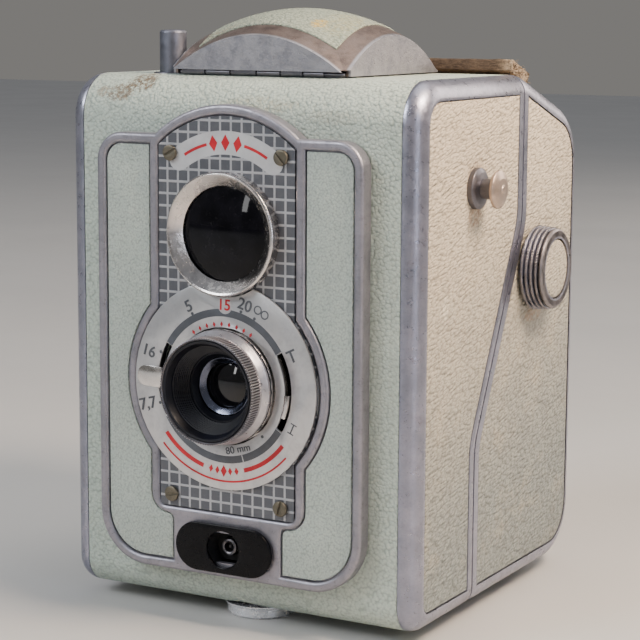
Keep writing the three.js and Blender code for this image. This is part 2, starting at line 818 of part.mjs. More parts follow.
function releaseSpring() {
  const turns = 4;
  const low = 101.9;
  const high = 106;
  const points = Array.from({ length: turns * 8 + 1 }, (_, i) => {
    const a = (i / 8) * 2 * Math.PI;
    const h = low + ((high - low) * i) / (turns * 8);
    return new THREE.Vector3(BUTTON_X + 2.2 * Math.cos(a), BUTTON_Y + 2.2 * Math.sin(a), h);
  });
  const wire = new THREE.Shape(circle(0, 0, 0.25, 5).map(([u, v]) => new THREE.Vector2(u, v)));
  return solid(
    new THREE.ExtrudeGeometry(wire, {
      steps: turns * 8,
      extrudePath: new THREE.CatmullRomCurve3(points),
      bevelEnabled: false,
    }),
  );
}

const BOARD_Y = 4;
const BOARD = 1.2;
const BLADE_PIVOT = [13, LENS_Z + 9];
const STOP_PIVOT = [-13, LENS_Z - 9];

// The board across the front opening, with the pivots of the shutter and the stop.
function shutterBoard() {
  const outline = rounded([
    [-24, LENS_Z - 16, 3],
    [24, LENS_Z - 16, 3],
    [24, LENS_Z + 15.2, 3],
    [-24, LENS_Z + 15.2, 3],
  ]);
  const board = prismY(outline, BOARD_Y, BOARD_Y - BOARD, [circle(0, LENS_Z, 7.5)]);
  const pivots = [BLADE_PIVOT, STOP_PIVOT].map((at) =>
    rod("y", 0.8, [BOARD_Y - BOARD, BOARD_Y + 3.2], at, 10),
  );
  return join(board, ...pivots);
}

// A flat arm that swings on a pivot, with a round leaf over the lens and an optional hole.
function leaf([px, pz], radius, hole, yFront) {
  const along = new THREE.Vector2(-px, LENS_Z - pz);
  const side = new THREE.Vector2(-along.y, along.x).normalize().multiplyScalar(2);
  const arm = [
    [px + side.x, pz + side.y],
    [px - side.x, pz - side.y],
    [px + along.x - side.x, pz + along.y - side.y],
    [px + along.x + side.x, pz + along.y + side.y],
  ];
  const yBack = yFront + 0.5;
  const plate = join(
    prismY(arm, yBack, yFront),
    prismY(circle(px, pz, 2.4, 20), yBack, yFront),
    prismY(circle(0, LENS_Z, radius, 32), yBack, yFront),
  );
  const bores = [prismY(circle(px, pz, 1.1, 16), yBack + 1, yFront - 1)];
  if (hole) bores.push(prismY(circle(0, LENS_Z, hole, 24), yBack + 1, yFront - 1));
  return cut(plate, ...bores);
}

function shutterBlade() {
  return leaf(BLADE_PIVOT, 6.6, 0, BOARD_Y + 0.6);
}

function aperturePlate() {
  return leaf(STOP_PIVOT, 6.6, 2.6, BOARD_Y + 2);
}

// A ring round the lens tube with a finger that comes out through the dial.
function leverRing(yBack, angle, finger) {
  const ring = tube("y", 11.2, 13.6, [yBack - 0.7, yBack], [0, LENS_Z]);
  const spoke = ringSector(13.2, SLOT_RADIUS + POST_HALF, angle - 5, angle + 5);
  return join(ring, prismY(spoke, yBack, yBack - 0.7), finger);
}

const APERTURE_ANGLE = 177.7;
const SELECTOR_ANGLE = -10.5;

function apertureLever() {
  const inner = SLOT_RADIUS - POST_HALF;
  const post = ringSector(inner, SLOT_RADIUS + POST_HALF, APERTURE_ANGLE - 5, APERTURE_ANGLE + 5);
  const tabHalf = 2.15;
  const tab = rounded([
    [inner, -tabHalf],
    [20.7, -tabHalf, 2],
    [20.7, tabHalf, 2],
    [inner, tabHalf],
  ]).map(([u, v]) => {
    const a = THREE.MathUtils.degToRad(APERTURE_ANGLE);
    return [u * Math.cos(a) - v * Math.sin(a), LENS_Z + u * Math.sin(a) + v * Math.cos(a)];
  });
  const finger = join(
    prismY(post, -2.9, DIAL_FACE - 0.9),
    prismY(tab, DIAL_FACE - TOUCH, DIAL_FACE - 0.9),
  );
  return leverRing(-2.6, APERTURE_ANGLE, finger);
}

function selectorLever() {
  const edges = [SLOT_RADIUS - POST_HALF, SLOT_RADIUS + POST_HALF];
  const post = ringSector(...edges, SELECTOR_ANGLE - 9, SELECTOR_ANGLE + 9);
  return leverRing(-1.4, SELECTOR_ANGLE, prismY(post, -1.5, DIAL_FACE - 0.8));
}

// The fixed lens tube on its board, with the round flange seen behind the focusing ring.
function lensMount() {
  const root = BOARD_Y - BOARD / 2;
  const profile = [
    [9.6, root],
    [9.6, -5.9],
    [12, -5.9],
    [12, DIAL_FACE - TOUCH],
    [10.8, DIAL_FACE - TOUCH],
    [10.8, root],
    [9.6, root],
  ];
  return join(turned("y", profile, [0, LENS_Z], 28), shutterBoard());
}

const GLASS_FRONT = -2.6;

// The cell slides in the tube without turning and holds the glass.
function lensCell() {
  const profile = [
    [6.4, 1.6],
    [6.4, 0.4],
    [5.6, 0.4],
    [5.6, -0.6],
    [6.9, -0.6],
    [6.9, GLASS_FRONT - 1.2],
    [8.3, GLASS_FRONT - 1.2],
    [8.3, -5.6],
    [9.3, -5.6],
    [9.3, 1.6],
    [6.4, 1.6],
  ];
  return turned("y", profile, [0, LENS_Z], 24);
}

function frontLens() {
  return turned("y", domed(6.5, -0.9, GLASS_FRONT, 1.3), [0, LENS_Z], 24);
}

// The black funnel in front of the glass.
function lensCone() {
  const profile = [
    [FOCUS_RADIUS - 1.2, FOCUS_FRONT + 0.3],
    [CONE_INNER, GLASS_FRONT - 2.2],
    [7.9, GLASS_FRONT - 2.2],
    [7.9, -6],
    [9.7, -6],
    [9.7, -7.6],
    [FOCUS_RADIUS - 0.8, -8.7],
    [FOCUS_RADIUS - 0.8, FOCUS_FRONT + 0.3],
    [FOCUS_RADIUS - 1.2, FOCUS_FRONT + 0.3],
  ];
  return turned("y", profile, [0, LENS_Z], 32);
}

// The focusing ring that the fingers turn.
function focusRing() {
  const bore = FOCUS_RADIUS - 0.5;
  const profile = [
    [bore, FOCUS_FRONT],
    [FOCUS_RADIUS, FOCUS_FRONT],
    [FOCUS_RADIUS, FOCUS_BACK - 1],
    [FOCUS_FLANGE, FOCUS_BACK - 0.7],
    [FOCUS_FLANGE, FOCUS_BACK],
    [10, FOCUS_BACK],
    [10, -7.9],
    [bore, -8.9],
    [bore, FOCUS_FRONT],
  ];
  return turned("y", profile, [0, LENS_Z], 36);
}

// ---------------------------------------------------------------- flash socket

const SYNC_FACE = TRIM_FACE - TOUCH - 1;
const SYNC_RECESS = 3.9;
const SYNC_SLEEVE = SYNC_FACE + 2.6; // front end of the contact sleeve
const SYNC_FLOOR = -1.2;

function syncPlate() {
  const outer = prismY(stadium(SYNC_HALF, SYNC_RADIUS, SYNC_Z), TRIM_FACE - TOUCH, SYNC_FACE);
  const foot = prismY(stadium(SYNC_HALF - 2.3, SYNC_RADIUS - 2.3, SYNC_Z), 1.6, SYNC_FACE + 0.5);
  const mouth = rod("y", SYNC_RECESS, [SYNC_FACE - 1, TRIM_FACE - 0.4], [0, SYNC_Z], 32);
  const well = rod("y", SYNC_RECESS - 1.5, [SYNC_FACE - 1, SYNC_FLOOR], [0, SYNC_Z], 32);
  const bore = rod("y", 1.75 + TOUCH, [-6, 3], [0, SYNC_Z]);
  return cut(join(outer, foot), mouth, well, bore);
}

// The coaxial flash contact: a sleeve and a centre pin on one insulating bead.
function syncSocket() {
  const sleeve = tube("y", 1.25, 1.75, [SYNC_SLEEVE, 2.6], [0, SYNC_Z], 20);
  const bead = rod("y", 1.5, [1.2, 2.6], [0, SYNC_Z]);
  const pin = rod("y", 0.5, [SYNC_SLEEVE + 0.6, 1.4], [0, SYNC_Z], 10);
  return join(sleeve, bead, pin);
}

// ---------------------------------------------------------------- film chamber

const CONE_FRONT = BOARD_Y + 4;
const GATE = 1.4;
const CHEEK = 33.4;

function pyramid(y0, half0, y1, half1, grow) {
  const at = (y, h) =>
    [[-h, -h], [h, -h], [h, h], [-h, h]].map(([x, z]) => [x, y, LENS_Z + z]);
  const near = at(y0, half0 + grow);
  const far = at(y1, half1 + grow);
  const quads = [[near[3], near[2], near[1], near[0]], far];
  for (let k = 0; k < 4; k++) quads.push([near[k], near[(k + 1) % 4], far[(k + 1) % 4], far[k]]);
  const triangles = quads.flatMap(([a, b, c, d]) => [a, b, c, a, c, d]);
  const geometry = new THREE.BufferGeometry();
  geometry.setAttribute("position", new THREE.Float32BufferAttribute(triangles.flat(), 3));
  return solid(geometry);
}

const ROLLERS = [
  ["film_roller_top", LENS_Z + FRAME_HALF + 4.4],
  ["film_roller_bottom", LENS_Z - FRAME_HALF - 4.4],
];

// The bellows-shaped light box, the film gate and the cheeks that carry rollers and spools.
function filmChamber() {
  const front = 9.5;
  const shell = cut(
    pyramid(CONE_FRONT, front, FILM_Y, FRAME_HALF, 1),
    pyramid(CONE_FRONT - 1, front - 0.3, FILM_Y + 1, FRAME_HALF, 0),
  );
  const gateHalf = FRAME_HALF + 2.6;
  const gate = prismY(
    rounded([
      [-31.2, LENS_Z - gateHalf, 1],
      [31.2, LENS_Z - gateHalf, 1],
      [31.2, LENS_Z + gateHalf, 1],
      [-31.2, LENS_Z + gateHalf, 1],
    ]),
    FILM_Y,
    FILM_Y - GATE,
    [[[-28, LENS_Z - 28], [28, LENS_Z - 28], [28, LENS_Z + 28], [-28, LENS_Z + 28]]],
  );
  const lugs = ROLLERS.flatMap(([, z]) =>
    [-1, 1].map((side) => {
      const middle = side * 30.4;
      const away = Math.sign(z - LENS_Z);
      const root = LENS_Z + away * (FRAME_HALF + 1);
      const zs = [Math.min(root, z + 2 * away), Math.max(root, z + 2 * away)];
      return block([middle - 0.7, middle + 0.7], [ROLLER_Y - 2, FILM_Y - 0.2], zs);
    }),
  );
  const bores = ROLLERS.map(([, z]) => rod("x", 0.9, [-40, 40], [ROLLER_Y, z], 12));
  return cut(join(shell, gate, ...lugs), ...bores);
}

// A side plate of the chamber that bears the spools; the winding side leaves the upper one free.
function spoolPlate(side) {
  const lower = rounded([
    [SUPPLY_Y - 9, SUPPLY_Z - 9, 3],
    [SUPPLY_Y + 13, SUPPLY_Z - 9, 3],
    [SUPPLY_Y + 16, 40, 3],
    [FILM_Y - 10, LENS_Z - 8, 3],
    [FILM_Y - 10, LENS_Z + 8, 3],
    [36, LENS_Z + 8, 3],
    [36, 34, 3],
  ]);
  const x0 = side < 0 ? -CHEEK - 1.1 : CHEEK;
  const parts = [prismX(lower, x0, x0 + 1.1)];
  const pin = side < 0 ? [x0, -SPOOL_HALF + 3] : [SPOOL_HALF - 3, x0 + 1.1];
  parts.push(rod("x", 2, pin, [SUPPLY_Y, SUPPLY_Z], 20));
  if (side < 0) {
    const upper = rounded([
      [50, LENS_Z + 6],
      [66, LENS_Z + 6],
      [68, TAKEUP_Z + 5, 4],
      [56, TAKEUP_Z + 5, 4],
    ]);
    parts.push(prismX(upper, x0, x0 + 1.1), rod("x", 2, pin, [TAKEUP_Y, TAKEUP_Z], 20));
  }
  const reach = side * 24;
  const ends = [Math.min(reach, x0 + 0.5), Math.max(reach, x0 + 0.5)];
  const stay = block(ends, [56, 58], [LENS_Z - 2, LENS_Z + 2]);
  const cone = pyramid(CONE_FRONT, 9.5, FILM_Y, FRAME_HALF, 1 + TOUCH);
  return cut(join(...parts, stay), cone);
}

function filmRoller(z) {
  const ends = ROLLER_HALF + 1.6;
  const profile = [
    [0, -ends],
    [0.6, -ends],
    [0.6, -ROLLER_HALF],
    [ROLLER_RADIUS, -ROLLER_HALF],
    [ROLLER_RADIUS, ROLLER_HALF],
    [0.6, ROLLER_HALF],
    [0.6, ends],
    [0, ends],
  ];
  return turned("x", profile, [ROLLER_Y, z], 14);
}

const BLADE_HALF = 0.5;
const SLOT_CLEAR = 0.9;
const OPENING_ANGLE = Math.atan2(-(TAKEUP_Y - HINGE_Y), TAKEUP_Z - HINGE_Z);

// A film spool: two flanges on a core, bored for a pin, with a drive slot across one end.
function filmSpool(y, z, slotted) {
  const profile = [
    [2.4, -SPOOL_HALF],
    [SPOOL_FLANGE, -SPOOL_HALF],
    [SPOOL_FLANGE, -SPOOL_HALF + 1.2],
    [5.6, -SPOOL_HALF + 1.2],
    [5.6, SPOOL_HALF - 1.2],
    [SPOOL_FLANGE, SPOOL_HALF - 1.2],
    [SPOOL_FLANGE, SPOOL_HALF],
    [2.4, SPOOL_HALF],
    [2.4, -SPOOL_HALF],
  ];
  const spool = turned("x", profile, [y, z], 20);
  if (!slotted) return spool;
  const width = BLADE_HALF + SLOT_CLEAR;
  return cut(spool, acrossSpool(SPOOL_FLANGE + 2, width, SPOOL_HALF - 1.9, SPOOL_HALF + 1));
}

// A bar across the take-up axis, lying along the way the back swings open.
function acrossSpool(reach, half, x0, x1) {
  const bar = [[-reach, -half], [reach, -half], [reach, half], [-reach, half]];
  const c = Math.cos(OPENING_ANGLE);
  const s = Math.sin(OPENING_ANGLE);
  const outline = bar.map(([u, v]) => [TAKEUP_Y + u * c - v * s, TAKEUP_Z + u * s + v * c]);
  return prismX(outline, x0, x1);
}

// ---------------------------------------------------------------- back

const WINDOW_Z = LENS_Z;
const WINDOW_RADIUS = 5;
const GUIDE_RISE = 2; // how far the guides of the window slide stand out behind

function backShell() {
  const open = wrap(SHELL_OUT, SHELL_IN, WRAP_HALF - TOUCH).intersect(behind(SEAM_GAP / 2));
  const knuckle = join(
    rod("x", HINGE_KNUCKLE, [-19, 19], [HINGE_Y, HINGE_Z]),
    block([-19, 19], [HINGE_Y, HINGE_Y + 3], [SHELL_OUT, SHELL_IN]),
  );
  const bodyKnuckleRoom = [
    rod("x", HINGE_KNUCKLE + 0.4, [-38, -19.5], [HINGE_Y, HINGE_Z]),
    rod("x", HINGE_KNUCKLE + 0.4, [19.5, 38], [HINGE_Y, HINGE_Z]),
  ];
  const pinHole = rod("x", HINGE_PIN + TOUCH, [-40, 40], [HINGE_Y, HINGE_Z], 16);
  const window = rod("y", WINDOW_RADIUS, [70, 90], [0, WINDOW_Z]);
  const shell = cut(join(open, knuckle), ...bodyKnuckleRoom, pinHole, window, latchSlot());
  return join(shell, windowGuide(), strapRivet());
}

function backCovering() {
  const open = wrap(0, SKIN, WRAP_HALF - TOUCH / 2).intersect(behind(SEAM_GAP / 2));
  const hingeRoom = block([-38, 38], [20, HINGE_Y + 2.2], [-1, 4]);
  const window = rod("y", WINDOW_RADIUS + 0.4, [70, 90], [0, WINDOW_Z]);
  const rivetHole = acrossRoof([[0, -9], [1.5, -9], [1.5, 9], [0, 9]]);
  return cut(open, hingeRoom, window, latchSlot(), guideRivets(0.9), rivetHole);
}

const LATCH_TRAVEL = 2.5;

function slopePoint(y, under) {
  return [y - under * 0.322, BODY_HEIGHT - (y - ROOF_START) * ROOF_DROP - under * 0.947];
}

function latchSlot() {
  const outline = [
    slopePoint(63.5, 4),
    slopePoint(66.5 + LATCH_TRAVEL, 4),
    slopePoint(66.5 + LATCH_TRAVEL, -3),
    slopePoint(63.5, -3),
  ];
  return prismX(outline, -LATCH_HALF + 1.5, LATCH_HALF - 1.5);
}

// The catch of the back: a tongue under the roof and a ribbed thumb piece above it.
function backLatch() {
  const tongue = [
    slopePoint(68, SHELL_IN + 0.4 + 1),
    slopePoint(68, SHELL_IN + 0.4),
    slopePoint(53.5, SHELL_IN + 0.4),
    slopePoint(53.5, SHELL_IN + 0.4 + 1),
  ];
  const neck = [
    slopePoint(63.9, SHELL_IN + 0.8),
    slopePoint(66.2, SHELL_IN + 0.8),
    slopePoint(66.2, -0.8),
    slopePoint(63.9, -0.8),
  ];
  const thumb = [
    slopePoint(62.4, -0.3),
    slopePoint(67.6, -0.3),
    slopePoint(67.2, -1.7),
    slopePoint(62.8, -1.7),
  ];
  return join(
    prismX(tongue, -LATCH_HALF, LATCH_HALF),
    prismX(neck, -LATCH_HALF + 1.9, LATCH_HALF - 1.9),
    prismX(thumb, -LATCH_HALF - 1, LATCH_HALF + 1),
  );
}

function redWindow() {
  const front = BODY_DEPTH - SHELL_IN;
  return rod("y", WINDOW_RADIUS - TOUCH, [front, BODY_DEPTH - 0.6], [0, WINDOW_Z], 28);
}

// The sliding cover over the film-number window, between two folded guides.
function windowSlide() {
  const y = BODY_DEPTH + TOUCH;
  const outline = rounded([
    [-6, WINDOW_Z - 6.5, 2],
    [6, WINDOW_Z - 6.5, 2],
    [6, WINDOW_Z + 8, 2],
    [-6, WINDOW_Z + 8, 2],
  ]);
  const plate = prismY(outline, y + 0.7, y);
  const grip = block([-3.5, 3.5], [y, y + 1.6], [WINDOW_Z + 5, WINDOW_Z + 6.2]);
  return join(plate, grip);
}

// Two folded guides and a stop for the slide, on rivets that pass through the covering.
function windowGuide() {
  const y = BODY_DEPTH + 0.1;
  const rear = BODY_DEPTH + GUIDE_RISE;
  const z = [WINDOW_Z - 8, WINDOW_Z + 20];
  const rails = [-1, 1].map((side) => {
    const foot = [side * 6.4, side * 8.2].sort((a, b) => a - b);
    const lip = [side * 5.4, side * 8.2].sort((a, b) => a - b);
    return join(block(foot, [y, rear], z), block(lip, [y + 1.3, rear], z));
  });
  const bridge = block([-8.2, 8.2], [y, rear], [WINDOW_Z + 20, WINDOW_Z + 21.5]);
  return join(...rails, bridge, guideRivets(0.6));
}

function guideRivets(radius) {
  const places = [-7.3, 7.3].flatMap((x) => [-6, 18].map((z) => [x, WINDOW_Z + z]));
  const through = [BODY_DEPTH - SHELL_IN + 0.5, BODY_DEPTH + 0.5];
  return join(...places.map((at) => rod("y", radius, through, at, 8)));
}

// The plate that keeps the film flat, on four short posts against the back.
function pressurePlate() {
  const y = FILM_Y + 0.5;
  const outline = rounded([
    [-30, LENS_Z - 30, 2],
    [30, LENS_Z - 30, 2],
    [30, LENS_Z + 30, 2],
    [-30, LENS_Z + 30, 2],
  ]);
  const plate = prismY(outline, y + 0.7, y, [circle(0, WINDOW_Z, WINDOW_RADIUS, 16)]);
  const places = [-20, 20].flatMap((x) => [-20, 20].map((z) => [x, LENS_Z + z]));
  const posts = places.map((at) => rod("y", 2, [y + 0.3, BODY_DEPTH - SHELL_IN - TOUCH], at, 10));
  return join(plate, ...posts);
}

const STRAP_MIDDLE = STRAP_Y + STRAP_WIDTH / 2;

// The strap lies across the roof and follows its slope.
function carryingStrap() {
  const outline = [
    slopePoint(STRAP_Y, -STRAP_GAP),
    slopePoint(STRAP_Y + STRAP_WIDTH, -STRAP_GAP),
    slopePoint(STRAP_Y + STRAP_WIDTH, -STRAP_GAP - STRAP_THICK),
    slopePoint(STRAP_Y, -STRAP_GAP - STRAP_THICK),
  ];
  const rivetHole = acrossRoof([[0, -9], [1.5, -9], [1.5, 9], [0, 9]]);
  return cut(prismX(outline, STRAP_LEFT, STRAP_RIGHT), rivetHole);
}

// A profile of [radius, height above the roof] turned about the strap's rivet.
function acrossRoof(profile) {
  const [y, z] = slopePoint(STRAP_MIDDLE, 0);
  const upright = geometryOf(turned("z", profile, [0, 0], 20));
  return solid(upright.rotateX(-Math.atan(ROOF_DROP)).translate(RIVET_X, y, z));
}

function strapRivet() {
  const seat = STRAP_GAP + STRAP_THICK + TOUCH;
  return acrossRoof([
    [0, -SHELL_IN + 0.5],
    [1.1, -SHELL_IN + 0.5],
    [1.1, seat],
    [2.8, seat],
    [2.8, seat + 0.4],
    [2, seat + 1],
    [0, seat + 1.1],
  ]);
}

// ---------------------------------------------------------------- winding

// A spur gear outline with straight-sided teeth.
function gearOutline(cy, cz, pitchRadius, phase) {
  const step = 360 / GEAR_TEETH;
  return Array.from({ length: GEAR_TEETH }, (_, i) => {
    const at = phase + i * step;
    const corner = (radius, share) => polar(cy, cz, radius, at + share * step);
    return [
      corner(pitchRadius - 0.95, -0.31),
      corner(pitchRadius + 0.6, -0.13),
      corner(pitchRadius + 0.6, 0.13),
      corner(pitchRadius - 0.95, 0.31),
    ];
  }).flat();
}

const GEAR_CENTRES = Math.hypot(TAKEUP_Y - KNOB_Y, TAKEUP_Z - KNOB_Z);
const GEAR_LINE = THREE.MathUtils.radToDeg(Math.atan2(TAKEUP_Z - KNOB_Z, TAKEUP_Y - KNOB_Y));

function windingKnob() {
  const seat = HALF + 0.5;
  const out = seat + KNOB_THICK;
  const groove = [0, 1, 2, 3].flatMap((i) => {
    const x = seat + 0.25 + i * 1.05;
    const r = KNOB_RADIUS - i * 0.1;
    return [[r, x], [r, x + 0.6], [r - 0.8, x + 0.8]];
  });
  const profile = [
    [0, GEAR_IN],
    [2, GEAR_IN],
    [2, seat],
    [KNOB_RADIUS - 0.8, seat],
    ...groove,
    [8.7, out - 0.8],
    [8.2, out],
    [6.7, out],
    [6.7, out - 0.9],
    [0, out - 0.9],
  ];
  const body = turned("x", profile, [KNOB_Y, KNOB_Z], 24);
  const teeth = gearOutline(KNOB_Y, KNOB_Z, GEAR_CENTRES / 2, GEAR_LINE);
  return join(body, prismX(teeth, GEAR_IN, GEAR_IN + GEAR_THICK));
}

function knobCovering() {
  const out = HALF + 0.5 + KNOB_THICK;
  return rod("x", 6.7 - TOUCH, [out - 0.6, out - 0.1], [KNOB_Y, KNOB_Z], 36);
}

function driveGear() {
  const teeth = gearOutline(
    TAKEUP_Y,
    TAKEUP_Z,
    GEAR_CENTRES / 2,
    GEAR_LINE + 180 + 180 / GEAR_TEETH,
  );
  return join(
    prismX(teeth, GEAR_IN, GEAR_IN + GEAR_THICK),
    rod("x", 3, [GEAR_IN - 2.2, GEAR_IN + 0.5], [TAKEUP_Y, TAKEUP_Z]),
    rod("x", 1.5, [GEAR_IN, WRAP_HALF + 1.4], [TAKEUP_Y, TAKEUP_Z], 16),
    acrossSpool(2.9, BLADE_HALF, SPOOL_HALF - 1.1, GEAR_IN - 1),
  );
}

const SHAFT_BORE = 2.3;

function windingSide(manifold) {
  return cut(
    manifold,
    rod("x", SHAFT_BORE, [WRAP_HALF - 2, HALF + 1], [KNOB_Y, KNOB_Z]),
  );
}

// ---------------------------------------------------------------- assembly

const camera = new THREE.Group();
camera.position.set(0, -(FOCUS_FRONT + BODY_DEPTH + GUIDE_RISE) / 2, BUSH_HEIGHT);

function addBody() {
  const group = new THREE.Group();
  piece(group, "body_shell", bodyShell(), "sheetSteel");
  piece(group, "body_covering", bodyCovering(), "covering");
  piece(group, "side_frame_right", bodySide(), "castMetal");
  piece(group, "side_frame_left", mirrored(bodySide()), "castMetal");
  piece(group, "side_covering_right", bodySideCovering(), "covering");
  piece(group, "side_covering_left", mirrored(bodySideCovering()), "covering");
  piece(group, "strap_stud_right", strapStud(), "castMetal");
  piece(group, "strap_stud_left", mirrored(strapStud()), "castMetal");
  piece(group, "tripod_bush", tripodBush(), "chrome");
  camera.add(group);
}

function addFront() {
  const group = new THREE.Group();
  piece(group, "front_trim", frontTrim(), "castMetal");
  piece(group, "front_inset_right", frontInset(), "covering");
  piece(group, "front_inset_left", mirrored(frontInset()), "covering");
  piece(group, "face_plate", facePlate(), "darkPlate");
  SCREWS.forEach((at, i) => piece(group, "face_screw_" + (i + 1), faceScrew(at), "brass"));
  piece(group, "dial_plate", dialPlate(), "lightPlate");
  piece(group, "sync_plate", syncPlate(), "bakelite");
  piece(group, "sync_socket", syncSocket(), "brass");
  camera.add(group);
}

function addFinder() {
  const group = new THREE.Group();
  piece(group, "finder_bezel", finderBezel(), "chrome");
  piece(group, "finder_lens", finderLens(), "glass");
  piece(group, "finder_case", finderCase(), "blackPaint");
  piece(group, "finder_mirror", finderMirror(), "mirror");
  piece(group, "field_glass", fieldGlass(), "glass");
  piece(group, "hood_cover", hoodCover(), "castMetal");
  piece(group, "hood_covering", hoodCovering(), "covering");
  piece(group, "hood_hinge", hoodHinge(), "sheetSteel");
  camera.add(group);
}

function addShutterAndLens() {
  const group = new THREE.Group();
  piece(group, "release_button", releaseButton(), "castMetal");
  piece(group, "release_spring", releaseSpring(), "sheetSteel");
  piece(group, "shutter_blade", shutterBlade(), "sheetSteel");
  piece(group, "aperture_plate", aperturePlate(), "sheetSteel");
  piece(group, "aperture_lever", apertureLever(), "chrome");
  piece(group, "selector_lever", selectorLever(), "chrome");
  piece(group, "lens_mount", lensMount(), "castMetal");
  piece(group, "lens_cell", lensCell(), "blackPaint");
  piece(group, "front_lens", frontLens(), "glass");
  piece(group, "lens_cone", lensCone(), "blackPaint");
  piece(group, "focus_ring", focusRing(), "castMetal");
  camera.add(group);
}

function addFilmChamber() {
  const group = new THREE.Group();
  piece(group, "film_chamber", filmChamber(), "blackPaint");
  piece(group, "spool_plate_left", spoolPlate(-1), "sheetSteel");
  piece(group, "spool_plate_right", spoolPlate(1), "sheetSteel");
  ROLLERS.forEach(([name, z]) => piece(group, name, filmRoller(z), "chrome"));
  piece(group, "takeup_spool", filmSpool(TAKEUP_Y, TAKEUP_Z, true), "blackPaint");
  piece(group, "supply_spool", filmSpool(SUPPLY_Y, SUPPLY_Z, false), "blackPaint");
  camera.add(group);
}

function addBack() {
  const group = new THREE.Group();
  piece(group, "back_shell", backShell(), "sheetSteel");
  piece(group, "back_covering", backCovering(), "covering");
  piece(group, "back_frame_right", windingSide(backSide()), "castMetal");
  piece(group, "back_frame_left", mirrored(backSide()), "castMetal");
  piece(group, "back_side_covering_right", windingSide(backSideCovering()), "covering");
  piece(group, "back_side_covering_left", mirrored(backSideCovering()), "covering");
  piece(group, "back_latch", backLatch(), "chrome");
  piece(group, "red_window", redWindow(), "red");
  piece(group, "window_slide", windowSlide(), "castMetal");
  piece(group, "pressure_plate", pressurePlate(), "blackPaint");
  piece(group, "winding_knob", windingKnob(), "castMetal");
  piece(group, "knob_covering", knobCovering(), "covering");
  piece(group, "drive_gear", driveGear(), "brass");
  piece(group, "carrying_strap", carryingStrap(), "strap");
  camera.add(group);
}

addBody();
addFront();
addFinder();
addShutterAndLens();
addFilmChamber();
addBack();

export default camera;
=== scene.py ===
"""Looks of the box camera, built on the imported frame. Lengths are in millimetres from the foot of the
body's front face, and place() turns them into the frame's metres."""

import json
import math
import random

import bmesh
import bpy
from mathutils import Matrix, Vector, noise


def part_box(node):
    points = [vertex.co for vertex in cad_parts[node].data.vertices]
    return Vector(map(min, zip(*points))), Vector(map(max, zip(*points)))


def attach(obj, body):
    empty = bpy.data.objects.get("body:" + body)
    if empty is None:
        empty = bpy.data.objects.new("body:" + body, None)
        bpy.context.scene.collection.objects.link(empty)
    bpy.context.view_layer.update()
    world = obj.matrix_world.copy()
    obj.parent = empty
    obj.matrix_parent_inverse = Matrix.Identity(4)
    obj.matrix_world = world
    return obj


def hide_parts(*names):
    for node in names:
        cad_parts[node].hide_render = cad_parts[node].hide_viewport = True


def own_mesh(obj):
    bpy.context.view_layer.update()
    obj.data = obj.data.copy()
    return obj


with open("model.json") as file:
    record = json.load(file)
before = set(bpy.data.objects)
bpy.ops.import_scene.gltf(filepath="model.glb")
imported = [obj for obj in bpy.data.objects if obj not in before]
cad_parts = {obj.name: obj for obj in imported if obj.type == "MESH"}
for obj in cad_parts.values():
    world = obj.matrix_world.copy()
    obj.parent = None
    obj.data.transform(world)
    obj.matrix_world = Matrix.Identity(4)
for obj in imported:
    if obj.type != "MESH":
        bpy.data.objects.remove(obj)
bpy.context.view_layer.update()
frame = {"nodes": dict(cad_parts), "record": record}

MM = 0.001
FRONT_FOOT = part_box("body_covering")[0]
ORIGIN = Vector((0, FRONT_FOOT.y, FRONT_FOOT.z))
RECORD = frame["record"]
BODY_OF = {n: b for b, ns in RECORD["behaviour"]["bodies"].items() for n in ns}

HALF = 42
HEIGHT = 112
DEPTH = 83
BEAD = 4
WRAP_HALF = HALF - BEAD
ROOF_SLOPE = 0.34
SKIN = 0.5  # thickness of the covering
LENS_Z = 49
FINDER_Z = 80.5
SYNC_Z = 14.5
LENS_BORE = 17.7
FINDER_BORE = 10.9
SYNC_BED = (9.6, 3.2)
BED_FACE = -3.1
TRIM_FACE = -4.3
PLATE_FACE = -4.0
DIAL_FACE = -4.9
HOOD_HALF = 21.3
HOOD_Y = 28.8
HOOD_BASE = HEIGHT + 0.3
CONE_INNER = 6.2
CONE_OUTER = 9.8
BUSH_HEIGHT = 2.7
STUD = (26, 89.5)
SHAFT = (57, 69.8)
RELEASE = (-25.2, 15.5)
BUSH = (0, 10.7)
RIVET_X = -30
STRAP_FRONT = 51.9
STRAP_WIDTH = 10
CORNER_STEPS = 12


def place(p):
    return ORIGIN + Vector(p) * MM


# ------------------------------------------------------------------ outlines


def polar(centre, radius, degrees):
    a = math.radians(degrees)
    return (centre[0] + radius * math.cos(a), centre[1] + radius * math.sin(a))


def arc(centre, radius, start, end, steps):
    return [polar(centre, radius, start + (end - start) * i / steps) for i in range(steps + 1)]


def circle(centre, radius, steps=96):
    return arc(centre, radius, 0, 360, steps)[:-1]


def rounded(corners, steps=8):
    """Corners (u, v) or (u, v, radius), each rounded by its radius."""
    out = []
    count = len(corners)
    for i, corner in enumerate(corners):
        here = Vector(corner[:2])
        radius = corner[2] if len(corner) > 2 else 0
        if not radius:
            out.append(tuple(here))
            continue
        before = (Vector(corners[i - 1][:2]) - here).normalized()
        after = (Vector(corners[(i + 1) % count][:2]) - here).normalized()
        half = before.angle(after) / 2
        centre = here + (before + after).normalized() * radius / math.sin(half)
        start = here + before * radius / math.tan(half) - centre
        end = here + after * radius / math.tan(half) - centre
        turn = math.atan2(start.x * end.y - start.y * end.x, start.dot(end))
        for k in range(steps + 1):
            out.append(tuple(centre + Matrix.Rotation(turn * k / steps, 2) @ start))
    return out


